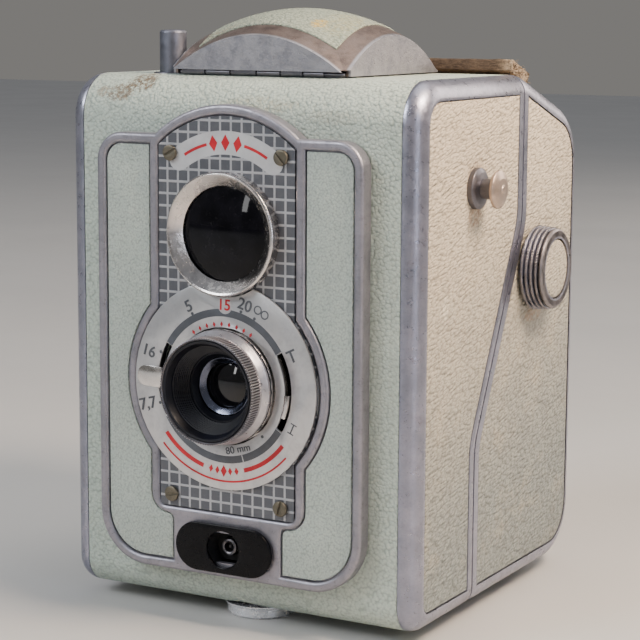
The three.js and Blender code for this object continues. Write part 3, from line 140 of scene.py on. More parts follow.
def inset(outline, distance):
    out = []
    for i, point in enumerate(outline):
        here = Vector(point)
        a = (here - Vector(outline[i - 1])).normalized()
        b = (Vector(outline[(i + 1) % len(outline)]) - here).normalized()
        normal = Vector((-a.y - b.y, a.x + b.x)).normalized()
        out.append(tuple(here + normal * distance / (normal.x * -a.y + normal.y * a.x)))
    return out


def side_outline():
    """The camera's side view as (y, z), from the front foot round the back to the front of the top."""
    bend = 52
    back_top = HEIGHT - (DEPTH - bend) * ROOF_SLOPE
    corners = [(0, 0, 6.5), (DEPTH, 0, 13), (DEPTH, back_top, 14), (bend, HEIGHT, 10), (0, HEIGHT, 9)]
    return rounded(corners, CORNER_STEPS)


def behind_seam(shift):
    """Everything behind the seam between body and back, the seam moved rearwards by a distance."""
    low, top = (27.5, 35), (50.3, 80.7)
    along = Vector((top[0] - low[0], top[1] - low[1])).normalized()
    climb = along.y / along.x
    slant = shift / along.y
    outline = [(low[0] + shift, -200), (200, -200), (200, 300), (top[0] + shift, 300)]
    for y, z in (top, low):
        outline.append((y + shift, z + (shift - slant) * climb, 14))
    return rounded(outline)


def stadium(half, radius, steps=24):
    """A long hole with round ends, level with the flash contact."""
    right = arc((half - radius, SYNC_Z), radius, -90, 90, steps)
    return right + arc((radius - half, SYNC_Z), radius, 90, 270, steps)


# ------------------------------------------------------------------ pieces


def linked(name, data):
    """A new object in the scene."""
    obj = bpy.data.objects.new(name, data)
    bpy.context.collection.objects.link(obj)
    return obj


def tidy_mesh(data):
    """Joins the points that coincide and turns every face outwards."""
    work = bmesh.new()
    work.from_mesh(data)
    bmesh.ops.remove_doubles(work, verts=work.verts, dist=1e-7)
    bmesh.ops.recalc_face_normals(work, faces=work.faces)
    work.to_mesh(data)
    work.free()


def settle(obj):
    """Applies the object's modifiers."""
    graph = bpy.context.evaluated_depsgraph_get()
    data = bpy.data.meshes.new_from_object(obj.evaluated_get(graph))
    obj.modifiers.clear()
    obj.data = data
    return obj


def smooth(obj, sharp=32):
    obj.data.shade_smooth()
    obj.data.set_sharp_from_angle(angle=math.radians(sharp))


def dress(obj, body, mat, node=None, sharp=32):
    """Gives a piece its material, the body it rides and the CAD node it stands in for."""
    obj.data.materials.clear()
    obj.data.materials.append(mat)
    smooth(obj, sharp)
    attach(obj, body)
    if node:
        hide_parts(node)
    return obj


def bare_piece(name, verts, faces):
    """A mesh from points in millimetres, with nothing else set."""
    data = bpy.data.meshes.new(name)
    data.from_pydata([place(v) for v in verts], [], faces)
    obj = linked(name, data)
    tidy_mesh(data)
    return obj


def bevel(obj, width, angle=40, segments=2):
    mod = obj.modifiers.new("bevel", "BEVEL")
    mod.width = width * MM
    mod.segments = segments
    mod.limit_method = "ANGLE"
    mod.angle_limit = math.radians(angle)
    return settle(obj)


def carve(obj, cutter, operation="DIFFERENCE"):
    """A boolean that uses its cutter up."""
    mod = obj.modifiers.new("carve", "BOOLEAN")
    mod.operation = operation
    mod.solver = "EXACT"
    mod.object = cutter
    settle(obj)
    bpy.data.objects.remove(cutter)
    return obj


def grid_faces(rows, columns, wrap_columns=False):
    """Quads over rows of vertices, the columns closed into rings or not."""
    faces = []
    for start in range(0, (rows - 1) * columns, columns):
        for c in range(columns if wrap_columns else columns - 1):
            a, b = start + c, start + (c + 1) % columns
            faces.append((a, b, b + columns, a + columns))
    return faces


def tube_faces(rows, columns):
    """Quads over rings of vertices, closed at both ends."""
    last = (rows - 1) * columns
    ends = [tuple(range(columns))[::-1], tuple(range(last, last + columns))]
    return grid_faces(rows, columns, True) + ends


AXES = {
    "x": lambda h, a, b: (h, a, b),
    "y": lambda h, a, b: (a, h, b),
    "z": lambda h, a, b: (a, b, h),
}


def turned(name, body, axis, centre, profile, mat, node=None, segments=96, wave=None, sharp=32, closed=False):
    """A profile of (radius, height) or (radius, height, rounding) turned about a line."""
    line = rounded(profile, 4)
    if closed:
        line.append(line[0])
    verts = []
    for r, h in line:
        for k in range(segments):
            t = 2 * math.pi * k / segments
            radius = r + wave(r, h, k) if wave else r
            verts.append(AXES[axis](h, centre[0] + radius * math.cos(t), centre[1] + radius * math.sin(t)))
    obj = bare_piece(name, verts, grid_faces(len(line), segments, True))
    return dress(obj, body, mat, node, sharp)


TURNS = {
    "x": Matrix(((0, 0, 1), (1, 0, 0), (0, 1, 0))).to_4x4(),
    "y": Matrix(((1, 0, 0), (0, 0, -1), (0, 1, 0))).to_4x4(),
    "z": Matrix.Identity(4),
}


def curve_mesh(name, curve):
    source = linked(name + "_curve", curve)
    bpy.context.view_layer.update()
    graph = bpy.context.evaluated_depsgraph_get()
    data = bpy.data.meshes.new_from_object(source.evaluated_get(graph))
    bpy.data.objects.remove(source)
    return data


def stood(name, data, axis, at):
    """A flat mesh in millimetres turned to face along an axis, and moved to its place."""
    data.transform(TURNS[axis])
    data.transform(Matrix.Translation(ORIGIN) @ Matrix.Scale(MM, 4) @ Matrix.Translation(at))
    obj = linked(name, data)
    tidy_mesh(data)
    return obj


def slab(name, axis, outlines, start, end, edge=0.0, resolution=2):
    """Outlines, the first outside and the others holes, drawn out along an axis with rounded edges."""
    curve = bpy.data.curves.new(name, "CURVE")
    curve.dimensions = "2D"
    curve.fill_mode = "BOTH"
    curve.extrude = abs(end - start) / 2 - edge
    curve.bevel_depth = edge
    curve.offset = -edge
    curve.bevel_resolution = resolution
    for outline in outlines:
        spline = curve.splines.new("POLY")
        spline.points.add(len(outline) - 1)
        for point, (u, v) in zip(spline.points, outline):
            point.co = (u, v, 0, 1)
        spline.use_cyclic_u = True
    return stood(name, curve_mesh(name, curve), axis, AXES[axis]((start + end) / 2, 0, 0))


def from_cad(node, mat, width):
    """A copy of a CAD node with its flat faces joined and its edges rounded."""
    source = frame["nodes"][node]
    obj = linked(node + "_fine", source.data.copy())
    work = bmesh.new()
    work.from_mesh(obj.data)
    bmesh.ops.remove_doubles(work, verts=work.verts, dist=1e-6)
    bmesh.ops.dissolve_limit(work, angle_limit=math.radians(1), verts=work.verts, edges=work.edges)
    work.to_mesh(obj.data)
    work.free()
    if width:
        bevel(obj, width)
    return dress(obj, BODY_OF[node], mat, node)


def mirrored(obj, name):
    """A copy on the other side of the middle."""
    data = obj.data.copy()
    data.transform(Matrix.Scale(-1, 4, (1, 0, 0)))
    data.flip_normals()
    other = linked(name, data)
    return other


def merged(name, objects):
    """Several pieces as one mesh."""
    work = bmesh.new()
    for o in objects:
        work.from_mesh(o.data)
    data = bpy.data.meshes.new(name)
    work.to_mesh(data)
    work.free()
    for o in objects:
        bpy.data.objects.remove(o)
    obj = linked(name, data)
    return obj


# ------------------------------------------------------------------ materials


class Nodes:
    """A material's node tree, with the object's coordinates in millimetres ready."""

    def __init__(self, name, metallic=0.0, roughness=0.5, **fixed):
        self.mat = bpy.data.materials.new(name)
        self.mat.use_nodes = True
        self.tree = self.mat.node_tree
        self.shader = self.tree.nodes["Principled BSDF"]
        self.shader.inputs["Metallic"].default_value = metallic
        self.shader.inputs["Roughness"].default_value = roughness
        for socket, value in fixed.items():
            self.shader.inputs[socket.replace("_", " ")].default_value = value
        place_node = self.tree.nodes.new("ShaderNodeTexCoord")
        scaled = self.tree.nodes.new("ShaderNodeVectorMath")
        scaled.operation = "MULTIPLY_ADD"
        self.tree.links.new(place_node.outputs["Object"], scaled.inputs[0])
        scaled.inputs[1].default_value = (1000, 1000, 1000)
        scaled.inputs[2].default_value = tuple(-1000 * c for c in ORIGIN)
        self.mm = scaled.outputs[0]

    def feed(self, socket, value):
        if isinstance(value, bpy.types.NodeSocket):
            self.tree.links.new(value, socket)
        else:
            socket.default_value = value

    def math(self, operation, a, b=0.5, c=0.5):
        node = self.tree.nodes.new("ShaderNodeMath")
        node.operation = operation
        for socket, value in zip(node.inputs, (a, b, c)):
            self.feed(socket, value)
        return node.outputs[0]

    def plus(self, a, b):
        return self.math("ADD", a, b)

    def minus(self, a, b):
        return self.math("SUBTRACT", a, b)

    def times(self, a, b):
        return self.math("MULTIPLY", a, b)

    def stretched(self, stretch=(1, 1, 1), turn=(0, 0, 0)):
        """The coordinates turned, then drawn out along each axis."""
        node = self.tree.nodes.new("ShaderNodeMapping")
        node.vector_type = "TEXTURE"
        self.feed(node.inputs["Vector"], self.mm)
        node.inputs["Scale"].default_value = stretch
        node.inputs["Rotation"].default_value = [math.radians(t) for t in turn]
        return node.outputs[0]

    def noise(self, size, detail=3, rough=0.55, vector=None):
        node = self.tree.nodes.new("ShaderNodeTexNoise")
        self.feed(node.inputs["Vector"], vector or self.mm)
        node.inputs["Scale"].default_value = 1 / size
        node.inputs["Detail"].default_value = detail
        node.inputs["Roughness"].default_value = rough
        return node.outputs["Fac"]

    def cells(self, size, vector=None):
        node = self.tree.nodes.new("ShaderNodeTexVoronoi")
        self.feed(node.inputs["Vector"], vector or self.mm)
        node.inputs["Scale"].default_value = 1 / size
        return node.outputs["Distance"]

    def wobble(self, vector, size, amount):
        """The vector shaken by noise."""
        node = self.tree.nodes.new("ShaderNodeTexNoise")
        self.feed(node.inputs["Vector"], vector)
        node.inputs["Scale"].default_value = 1 / size
        add = self.tree.nodes.new("ShaderNodeVectorMath")
        add.operation = "MULTIPLY_ADD"
        self.tree.links.new(node.outputs["Color"], add.inputs[0])
        add.inputs[1].default_value = (amount, amount, amount)
        self.feed(add.inputs[2], vector)
        return add.outputs[0]

    def span(self, value, low, high, to_low=0.0, to_high=1.0):
        node = self.tree.nodes.new("ShaderNodeMapRange")
        node.interpolation_type = "SMOOTHSTEP"
        for socket, v in zip(node.inputs, (value, low, high, to_low, to_high)):
            self.feed(socket, v)
        return node.outputs[0]

    def blend(self, amount, a, b):
        node = self.tree.nodes.new("ShaderNodeMix")
        node.data_type = "RGBA"
        self.feed(node.inputs[0], amount)
        self.feed(node.inputs[6], a)
        self.feed(node.inputs[7], b)
        return node.outputs[2]

    def radius(self, across, centre):
        """Distance from a line along the third axis, through a centre in the plane of two axes."""
        axes = self.axes()
        parts = [self.minus(axes[i], c) for i, c in zip(across, centre)]
        squares = [self.times(p, p) for p in parts]
        return self.math("SQRT", self.plus(*squares))

    def axes(self):
        node = self.tree.nodes.new("ShaderNodeSeparateXYZ")
        self.feed(node.inputs[0], self.mm)
        return node.outputs

    def shaped(self, height, depth):
        """Bump of a height between 0 and 1 that is so many millimetres deep."""
        node = self.tree.nodes.new("ShaderNodeBump")
        node.inputs["Distance"].default_value = depth * MM
        self.feed(node.inputs["Height"], height)
        self.feed(self.shader.inputs["Normal"], node.outputs[0])

    def colour(self, value):
        self.feed(self.shader.inputs["Base Color"], value)

    def roughness(self, value):
        self.feed(self.shader.inputs["Roughness"], value)

    def worn(self, size, detail, low, high):
        """Roughness that drifts between two values."""
        self.roughness(self.span(self.noise(size, detail, 0.7), 0.3, 0.75, low, high))


def rgb(*colour):
    """An sRGB colour, each part at most 255, as the linear one that the shader takes."""
    parts = [min(c, 255) / 255 for c in colour]
    return (*(c / 12.92 if c <= 0.04045 else ((c + 0.055) / 1.055) ** 2.4 for c in parts), 1)


SAGE = (170, 182, 172)
# The side covering's tone: partly its own, partly painted warm light on the same cloth as the front.
CREAM_WARM_LIT = (200, 184, 160)
INSET = (168, 178, 170)
# The foot tone of the side covering's painted shade.
SIDE_SHADED_FOOT = (134, 139, 134)


def spot(n, centre, size, plane):
    """A ragged spot about a place, 1 at its middle and 0 outside."""
    x, y, z = n.axes()
    a, b = {"xz": (x, z), "xy": (x, y), "yz": (y, z)}[plane]
    da = n.math("DIVIDE", n.minus(a, centre[0]), size[0])
    db = n.math("DIVIDE", n.minus(b, centre[1]), size[1])
    far = n.math("SQRT", n.plus(n.times(da, da), n.times(db, db)))
    rough = n.times(n.minus(n.noise(0.8, 5, 0.7), 0.5), 1.5)
    whole = n.span(n.plus(far, rough), 0.75, 1.15, 1, 0)
    return n.times(whole, n.span(n.noise(0.9, 6, 0.75), 0.4, 0.56))


def leather(name, tone, cell, stretch=(1, 1, 1), turn=(0, 0, 0), depth=0.3, marks=(), grime=1.0, foot=None):
    """Pebbled leather cloth: soft domes with painted shade in their valleys and painted highlights on their
    tops, softly soiled, and where a foot tone is given, painted shade from the foot fading upwards.
    """
    n = Nodes(name, 0, 0.6, Specular_IOR_Level=0.4)
    shaken = n.wobble(n.stretched(stretch, turn), cell * 2.2, cell * 0.9)
    near = n.cells(cell, shaken)
    dome = n.minus(1.0, n.times(near, near))
    fine = n.noise(cell * 0.35, 3, 0.6, shaken)
    height = n.plus(n.times(dome, 0.8), n.times(fine, 0.2))
    n.shaped(height, depth)
    r, g, b = tone
    pale, dull = rgb(r + 9, g + 9, b + 8), rgb(r - 14, g - 13, b - 15)
    colour = n.blend(n.span(n.noise(23, 4, 0.6), 0.3, 0.72), rgb(*tone), pale)
    # Painted shade: darker and greyer towards the foot and the back, fading upwards into the lit tone.
    if foot:
        uneven = n.times(n.minus(n.noise(14, 3), 0.5), 22)
        _, back, up = n.axes()
        height_up = n.minus(n.plus(up, uneven), n.times(back, 0.25))
        colour = n.blend(n.span(height_up, 0, 98), rgb(*foot), colour)
    colour = n.blend(n.span(n.noise(9, 5, 0.7), 0.5, 0.8, 0, 0.5 * grime), colour, dull)
    # Painted shade in the grain's valleys, then painted highlights on the dome tops.
    colour = n.blend(n.span(height, 0.45, 0.72, 0.24, 0), colour, rgb(60, 58, 50))
    colour = n.blend(n.span(height, 0.78, 0.92, 0, 0.22), colour, rgb(236, 232, 216))
    specks = n.times(n.span(n.noise(0.5, 2, 0.5), 0.74, 0.8), n.span(n.noise(12, 3), 0.5, 0.62))
    colour = n.blend(n.times(specks, 0.6 * grime), colour, rgb(74, 66, 56))
    for centre, size, plane, shade, amount in marks:
        colour = n.blend(n.times(spot(n, centre, size, plane), amount), colour, rgb(*shade))
    n.colour(colour)
    n.roughness(n.span(n.noise(2.2, 4, 0.6), 0.3, 0.75, 0.48, 0.68))
    return n.mat


def metal(name, tone, rough, metallic, grain, depth, mottled, specks, rust=0.0):
    """Worn metal: cloudy tone, fine pitting, darker specks and some rust."""
    n = Nodes(name, metallic, rough)
    r, g, b = tone
    dark = rgb(r * 0.72, g * 0.71, b * 0.72)
    light = rgb(r * 1.1 + 5, g * 1.09 + 4, b * 1.09 + 4)
    colour = n.blend(n.span(n.noise(7, 6, 0.65), 0.35, 0.7), rgb(*tone), light)
    colour = n.blend(n.span(n.noise(2.3, 6, 0.7), 0.5, 0.78, 0, mottled), colour, dark)
    pits = n.span(n.noise(0.45, 3, 0.6), 0.64, 0.74)
    colour = n.blend(n.times(pits, specks), colour, rgb(r * 0.42, g * 0.38, b * 0.36))
    if rust:
        broken = n.span(n.noise(0.9, 4, 0.7), 0.4, 0.6)
        patch = n.times(n.span(n.noise(4.2, 6, 0.75), 0.52, 0.66), broken)
        colour = n.blend(n.times(patch, rust), colour, rgb(104, 74, 55))
    n.colour(colour)
    n.worn(1.7, 6, rough - 0.09, rough + 0.13)
    height = n.minus(n.noise(grain, 4, 0.6), n.times(pits, 0.6))
    n.shaped(height, depth)
    return n.mat


def paint(name, tone, rough, depth, grain, variation, **fixed):
    """Paint, print or moulded plastic: a cloudy tone with dust on it."""
    n = Nodes(name, 0, rough, **fixed)
    r, g, b = tone
    cloud = n.span(n.noise(6, 5, 0.65), 0.35, 0.7)
    colour = n.blend(cloud, rgb(*tone), rgb(*(c * (1 + variation) + 4 for c in tone)))
    dust = n.span(n.noise(0.55, 4, 0.65), 0.66, 0.8)
    colour = n.blend(n.times(dust, 0.3), colour, rgb(r + 70, g + 66, b + 62))
    n.colour(colour)
    n.worn(2, 5, rough - 0.08, rough + 0.12)
    n.shaped(n.noise(grain, 4, 0.6), depth)
    return n.mat


def glass(name, tone, depth, shine, coat, rough=0.04):
    """Dark coated glass with a little dust on it."""
    n = Nodes(name, 0, rough, Specular_IOR_Level=shine, Coat_Weight=coat, Coat_Roughness=0.03)
    r, g, b = tone
    dust = n.span(n.noise(0.5, 5, 0.7), 0.6, 0.82)
    haze = n.span(n.noise(5, 4, 0.6), 0.35, 0.8)
    colour = n.blend(haze, rgb(*tone), rgb(r + 16, g + 15, b + 18))
    n.colour(n.blend(n.times(dust, 0.35), colour, rgb(112, 110, 112)))
    n.roughness(n.span(dust, 0, 1, rough, rough + 0.3))
    n.shaped(n.noise(3, 3, 0.5), depth)
    return n.mat


GRID = 2.556
GRID_TOP = 98.3


def grid_plate():
    """Dark squares between silver lines, printed on the face plate."""
    n = Nodes("face_grid", 0.35, 0.42)
    x, _, z = n.axes()
    across = n.math("FRACT", n.math("DIVIDE", n.plus(x, 26.5 * GRID), GRID))
    up = n.math("FRACT", n.math("DIVIDE", n.minus(z, GRID_TOP - 60 * GRID), GRID))
    wide = n.math("ABSOLUTE", n.minus(across, 0.5))
    tall = n.math("ABSOLUTE", n.minus(up, 0.5))
    ragged = n.times(n.minus(n.noise(0.35, 3), 0.5), 0.03)
    reach = n.plus(n.math("MAXIMUM", wide, tall), ragged)
    line = n.span(reach, 0.395, 0.42)
    worn = n.span(n.noise(3, 6, 0.75), 0.45, 0.75, 0, 0.35)
    square = n.blend(worn, rgb(88, 90, 96), rgb(112, 113, 117))
    silver = n.blend(n.noise(1.5, 5, 0.7), rgb(186, 187, 190), rgb(150, 150, 154))
    flaking = n.span(n.noise(0.6, 4, 0.7), 0.7, 0.78)
    colour = n.blend(line, square, silver)
    n.colour(n.blend(n.times(flaking, 0.45), colour, rgb(150, 151, 155)))
    n.worn(1.4, 5, 0.34, 0.52)
    n.shaped(n.plus(line, n.times(n.noise(0.3, 3), 0.3)), 0.03)
    return n.mat


def brushed_dial():
    """Pale satin aluminium with fine turned lines, smudges and small dents."""
    n = Nodes("dial_metal", 0.85, 0.36)
    x, _, z = n.axes()
    combine = n.tree.nodes.new("ShaderNodeCombineXYZ")
    n.feed(combine.inputs[0], n.times(n.radius((0, 2), (0, LENS_Z)), 6.0))
    n.feed(combine.inputs[1], n.times(x, 0.12))
    n.feed(combine.inputs[2], n.times(z, 0.12))
    lines = n.noise(1.0, 3, 0.7, combine.outputs[0])
    smudge = n.span(n.noise(4.5, 6, 0.7), 0.4, 0.75)
    colour = n.blend(smudge, rgb(208, 208, 209), rgb(182, 182, 185))
    colour = n.blend(n.times(lines, 0.35), colour, rgb(160, 160, 164))
    pits = n.span(n.noise(0.5, 3, 0.6), 0.7, 0.77)
    n.colour(n.blend(n.times(pits, 0.5), colour, rgb(122, 116, 110)))
    n.roughness(n.span(smudge, 0, 1, 0.3, 0.45))
    n.shaped(n.plus(n.times(lines, 0.6), n.times(pits, -0.8)), 0.012)
    return n.mat


def knob_metal():
    """Grey metal with painted shade, near black, in the grooves, and bright worn ridges."""
    n = Nodes("knob_metal", 0.9, 0.36)
    far = n.radius((1, 2), SHAFT)
    grey = n.blend(n.span(n.noise(2.3, 6, 0.7), 0.4, 0.75), rgb(140, 134, 135), rgb(104, 100, 101))
    # Painted shade: the grooves nearer the shaft than 8.6 mm go near black.
    shaded_grooves = n.blend(n.span(far, 8.6, 9.0), rgb(24, 22, 22), grey)
    face = n.span(n.axes()[0], HALF + 5.0, HALF + 5.5)
    n.colour(n.blend(face, shaded_grooves, grey))
    n.worn(1.7, 6, 0.28, 0.5)
    n.shaped(n.noise(0.4, 4, 0.6), 0.03)
    return n.mat


def knurled_metal():
    """Bright ridges with painted shade between them."""
    n = Nodes("knurled_metal", 0.88, 0.34)
    cloud = n.span(n.noise(2.3, 5, 0.7), 0.4, 0.75)
    bright = n.blend(cloud, rgb(188, 186, 191), rgb(164, 162, 168))
    far = n.radius((0, 2), (0, LENS_Z))
    ridged = n.times(n.span(n.axes()[1], -8.6, -8.4, 1, 0), n.span(far, 10.5, 10.6))
    # Painted shade in the grooves of the knurled grip.
    groove = n.times(ridged, n.span(far, 10.88, 11.02, 0.85, 0))
    n.colour(n.blend(groove, bright, rgb(62, 60, 64)))
    n.worn(1.4, 5, 0.26, 0.46)
    n.shaped(n.noise(0.5, 4, 0.6), 0.01)
    return n.mat


def hood_metal():
    """Bright worn end plates, and a browner pitted band round the covered field."""
    n = Nodes("hood_metal", 0.75, 0.4)
    x, y, _ = n.axes()
    across = n.math("ABSOLUTE", x)
    along = n.math("ABSOLUTE", n.minus(y, HOOD_Y))
    plate = n.span(n.math("MAXIMUM", across, along), HOOD_HALF - 0.8, HOOD_HALF - 0.25)
    cloud = n.span(n.noise(3.2, 6, 0.7), 0.4, 0.72)
    bright = n.blend(cloud, rgb(158, 157, 162), rgb(134, 134, 142))
    brown = n.blend(cloud, rgb(122, 108, 102), rgb(92, 80, 76))
    colour = n.blend(plate, brown, bright)
    pits = n.span(n.noise(0.5, 3, 0.6), 0.62, 0.72)
    n.colour(n.blend(n.times(pits, 0.55), colour, rgb(64, 52, 48)))
    n.worn(1.7, 6, 0.32, 0.54)
    n.shaped(n.minus(n.noise(0.4, 4, 0.6), n.times(pits, 0.6)), 0.05)
    return n.mat


def strap_leather():
    """Old brown leather: long fibres, pale dry edges."""
    n = Nodes("strap_worn", 0, 0.78, Specular_IOR_Level=0.25)
    fibre = n.noise(0.5, 5, 0.7, n.stretched((4, 0.6, 0.6)))
    patch = n.noise(3.2, 5, 0.7)
    colour = n.blend(n.span(patch, 0.3, 0.75), rgb(60, 48, 38), rgb(92, 76, 61))
    colour = n.blend(n.span(fibre, 0.45, 0.7, 0, 0.8), colour, rgb(42, 33, 27))
    dry = n.times(n.span(n.axes()[0], 33, 39), n.span(n.noise(1.1, 5, 0.7), 0.3, 0.65))
    n.colour(n.blend(n.times(dry, 0.75), colour, rgb(190, 168, 140)))
    n.roughness(n.span(fibre, 0.3, 0.7, 0.68, 0.9))
    n.shaped(n.plus(fibre, n.times(n.cells(0.7), 0.5)), 0.22)
    return n.mat


def red_window():
    """The red film-number window."""
    n = Nodes("red_gel", 0, 0.12, Specular_IOR_Level=0.6, Coat_Weight=0.4)
    n.colour(n.blend(n.noise(3, 4, 0.6), rgb(120, 18, 20), rgb(150, 30, 28)))
    n.worn(1.2, 4, 0.08, 0.24)
    n.shaped(n.noise(1.5, 3), 0.01)
    return n.mat


def floor_stone():
    n = Nodes("pale_floor", 0, 0.5)
    n.colour(n.blend(n.noise(160, 4, 0.6), rgb(188, 186, 183), rgb(197, 195, 192)))
    n.roughness(n.span(n.noise(90, 4, 0.6), 0.3, 0.7, 0.42, 0.55))
    n.shaped(n.noise(6, 4), 0.02)
    return n.mat


# Marks on the coverings: centre and size in a plane, colour, strength.
FRONT_MARKS = (
    ((-25.5, 110.3), (3.6, 2.0), "xz", (96, 74, 52), 0.9),
    ((-29.5, 108.2), (3.2, 1.8), "xz", (104, 82, 60), 0.8),
    ((-39, 104), (1.6, 4), "xz", (130, 122, 104), 0.4),
    ((-34, 108.4), (1.6, 1.2), "xz", (120, 98, 74), 0.6),
    ((5, 106.6), (9, 1.6), "xz", (150, 146, 124), 0.5),
    ((22, 104.5), (6, 1.4), "xz", (140, 138, 122), 0.4),
    ((36.5, 60), (1, 26), "xz", (150, 152, 140), 0.35),
)
SIDE_MARKS = (
    ((12.5, 66), (1.3, 2.4), "yz", (232, 222, 200), 0.75),
    ((15.6, 62), (2.4, 0.8), "yz", (150, 138, 118), 0.45),
    ((9.5, 57.5), (0.5, 0.6), "yz", (74, 62, 52), 0.8),
    ((26, 83.6), (3.4, 2.2), "yz", (160, 118, 84), 0.5),
    ((26.6, 90.2), (4.9, 5.2), "yz", (128, 96, 74), 0.5),
    ((57.5, 59.2), (5, 1.5), "yz", (170, 128, 90), 0.45),
)
HOOD_MARKS = (
    ((9.5, 17.5), (1.5, 2.6), "xy", (196, 160, 60), 0.75),
    ((13, 22), (4, 7), "xy", (160, 152, 108), 0.4),
    ((-13, 14.5), (5, 3), "xy", (112, 100, 78), 0.5),
    ((2, 40), (13, 4), "xy", (140, 136, 114), 0.4),
)

# How the grain is turned, in degrees, and drawn out.
WEAVE = (0, 24, 0)
LEAN = (16, 0, 0)
DRAWN = (1, 2.6, 1)

MAT = {
    "front": leather("covering_front", SAGE, 0.66, depth=0.3, marks=FRONT_MARKS),
    "inset": leather("covering_inset", INSET, 0.42, (1, 1, 1.25), WEAVE, 0.2),
    "side": leather("covering_side", CREAM_WARM_LIT, 0.54, DRAWN, LEAN, 0.46, SIDE_MARKS, foot=SIDE_SHADED_FOOT),
    "top": leather("covering_hood", (136, 145, 131), 0.66, depth=0.3, marks=HOOD_MARKS, grime=1.5),
    "cast": metal("cast_aluminium", (142, 144, 158), 0.34, 0.88, 0.5, 0.04, 0.4, 0.5, 0.2),
    "trim": metal("trim_aluminium", (140, 139, 147), 0.42, 0.85, 0.25, 0.05, 0.6, 0.6, 0.1),
    "hood": hood_metal(),
    "slide": metal("slide_aluminium", (152, 151, 156), 0.4, 0.8, 0.5, 0.04, 0.5, 0.5, 0.3),
    "post": metal("post_metal", (112, 115, 126), 0.42, 0.9, 0.3, 0.02, 0.4, 0.4, 0.1),
    "steel": metal("blued_steel", (98, 98, 104), 0.42, 0.92, 0.3, 0.02, 0.5, 0.4, 0.3),
    "chrome": metal("worn_nickel", (205, 201, 197), 0.16, 1.0, 0.9, 0.012, 0.25, 0.3, 0.1),
    "bezel": metal("bezel_chrome", (196, 192, 189), 0.22, 1.0, 0.6, 0.02, 0.55, 0.5, 0.12),
    "satin": metal("satin_aluminium", (176, 173, 172), 0.3, 0.95, 0.3, 0.02, 0.35, 0.35, 0.1),
    # The tripod bush's near-white tone and lowered metalness are partly painted reflection, lifting it out of
    # the shade below the body.
    "bush": metal("bush_aluminium", (226, 227, 231), 0.24, 0.75, 0.3, 0.008, 0.15, 0.12),
    "knurl": knurled_metal(),
    "retainer": metal("retainer_metal", (92, 97, 112), 0.2, 1.0, 0.4, 0.01, 0.4, 0.3),
    "stud": metal("stud_head", (178, 160, 146), 0.36, 0.9, 0.3, 0.02, 0.35, 0.35, 0.1),
    "cone": paint("cone_lacquer", (8, 9, 16), 0.42, 0.01, 0.5, 0.5, Specular_IOR_Level=0.35),
    "knob": knob_metal(),
    "brass": metal("old_brass", (104, 100, 88), 0.42, 0.9, 0.3, 0.04, 0.6, 0.6, 0.3),
    "socket": metal("socket_grey", (104, 103, 106), 0.4, 0.9, 0.3, 0.01, 0.3, 0.3),
    "mirror": metal("finder_silver", (214, 216, 220), 0.05, 1.0, 3, 0.002, 0.1, 0.05),
    "black": paint("black_lacquer", (13, 14, 20), 0.36, 0.015, 0.5, 0.4),
    "matt": paint("matt_black", (12, 12, 14), 0.62, 0.03, 0.3, 0.4),
    "bakelite": paint("bakelite", (4, 4, 7), 0.26, 0.006, 1.2, 0.3, Specular_IOR_Level=0.15),
    "red": paint("red_print", (168, 16, 30), 0.42, 0.008, 0.3, 0.15),
    "ink": paint("grey_print", (70, 73, 79), 0.42, 0.008, 0.3, 0.15),
    "band": paint("name_band", (176, 177, 179), 0.4, 0.01, 0.3, 0.06),
    "glass": glass("dark_glass", (8, 8, 11), 0.004, shine=0.45, coat=0.1),
    "pane": glass("finder_glass", (4, 4, 7), 0.006, shine=0.2, coat=0.0),
    "field": glass("field_lens", (92, 98, 100), 0.004, shine=0.9, coat=0.5),
    "grid": grid_plate(),
    "dial": brushed_dial(),
    "strap": strap_leather(),
    "window": red_window(),
}

# ------------------------------------------------------------------ body and back

SIDE = side_outline()
STRIP_HALF = WRAP_HALF - 0.15


def strip(name, outer, inner, mat, body, node, cutters):
    """A covered wall: a section of the side view drawn out over the body's width."""
    obj = slab(name, "x", [outer + inner[::-1]], -STRIP_HALF, STRIP_HALF, 0.12)
    for cutter in cutters:
        carve(obj, cutter)
    return dress(obj, body, mat, node)


def hole(axis, outline, start, end):
    return slab("cutter", axis, [outline], start, end)


def box_cutter(x, y, z):
    return slab("cutter", "z", [[(x[0], y[0]), (x[1], y[0]), (x[1], y[1]), (x[0], y[1])]], z[0], z[1])


def make_coverings():
    """The coverings that wrap the body and the back, parted at the seam on the top and the bottom."""
    window = HOOD_HALF - 4.3
    foot_seam, top_seam = (25.6, 29.7), (50.05, 50.55)
    first, last = CORNER_STEPS + 1, 4 * (CORNER_STEPS + 1)
    behind = inset(SIDE, SKIN)

    def front(side, shift):
        corners = side[:first][::-1] + side[last:][::-1]
        return [(foot_seam[0], shift), *corners, (top_seam[0], HEIGHT - shift)]

    cutters = [
        hole("y", circle((0, FINDER_Z), FINDER_BORE), -2, 3),
        hole("y", circle((0, LENS_Z), LENS_BORE), -2, 3),
        hole("y", stadium(*SYNC_BED), -2, 3),
        box_cutter((-window, window), (HOOD_Y - window, HOOD_Y + window), (110, 114)),
        hole("z", circle(RELEASE, 3.2), 110, 114),
        hole("z", circle(BUSH, 7.8), -1, 3),
    ]
    strip("body_wrap", front(SIDE, 0), front(behind, SKIN), MAT["front"], "body", "body_covering", cutters)
    rear = [p for p in SIDE[first:last] if p[0] > 50.6]
    rear_in = behind[first : first + len(rear)]
    back = [(foot_seam[1], 0), *rear, (top_seam[1], HEIGHT - 0.02)]
    back_in = [(foot_seam[1], SKIN), *rear_in, (top_seam[1], HEIGHT - SKIN - 0.02)]
    cutters = [
        hole("y", circle((0, LENS_Z), 5.4), 80, 85),
        hole("z", circle((RIVET_X, 57), 1.5), 105, 114),
        box_cutter((-3.5, 3.5), (63.3, 68.9), (100, 112)),
    ]
    strip("back_wrap", back, back_in, MAT["side"], "back", "back_covering", cutters)


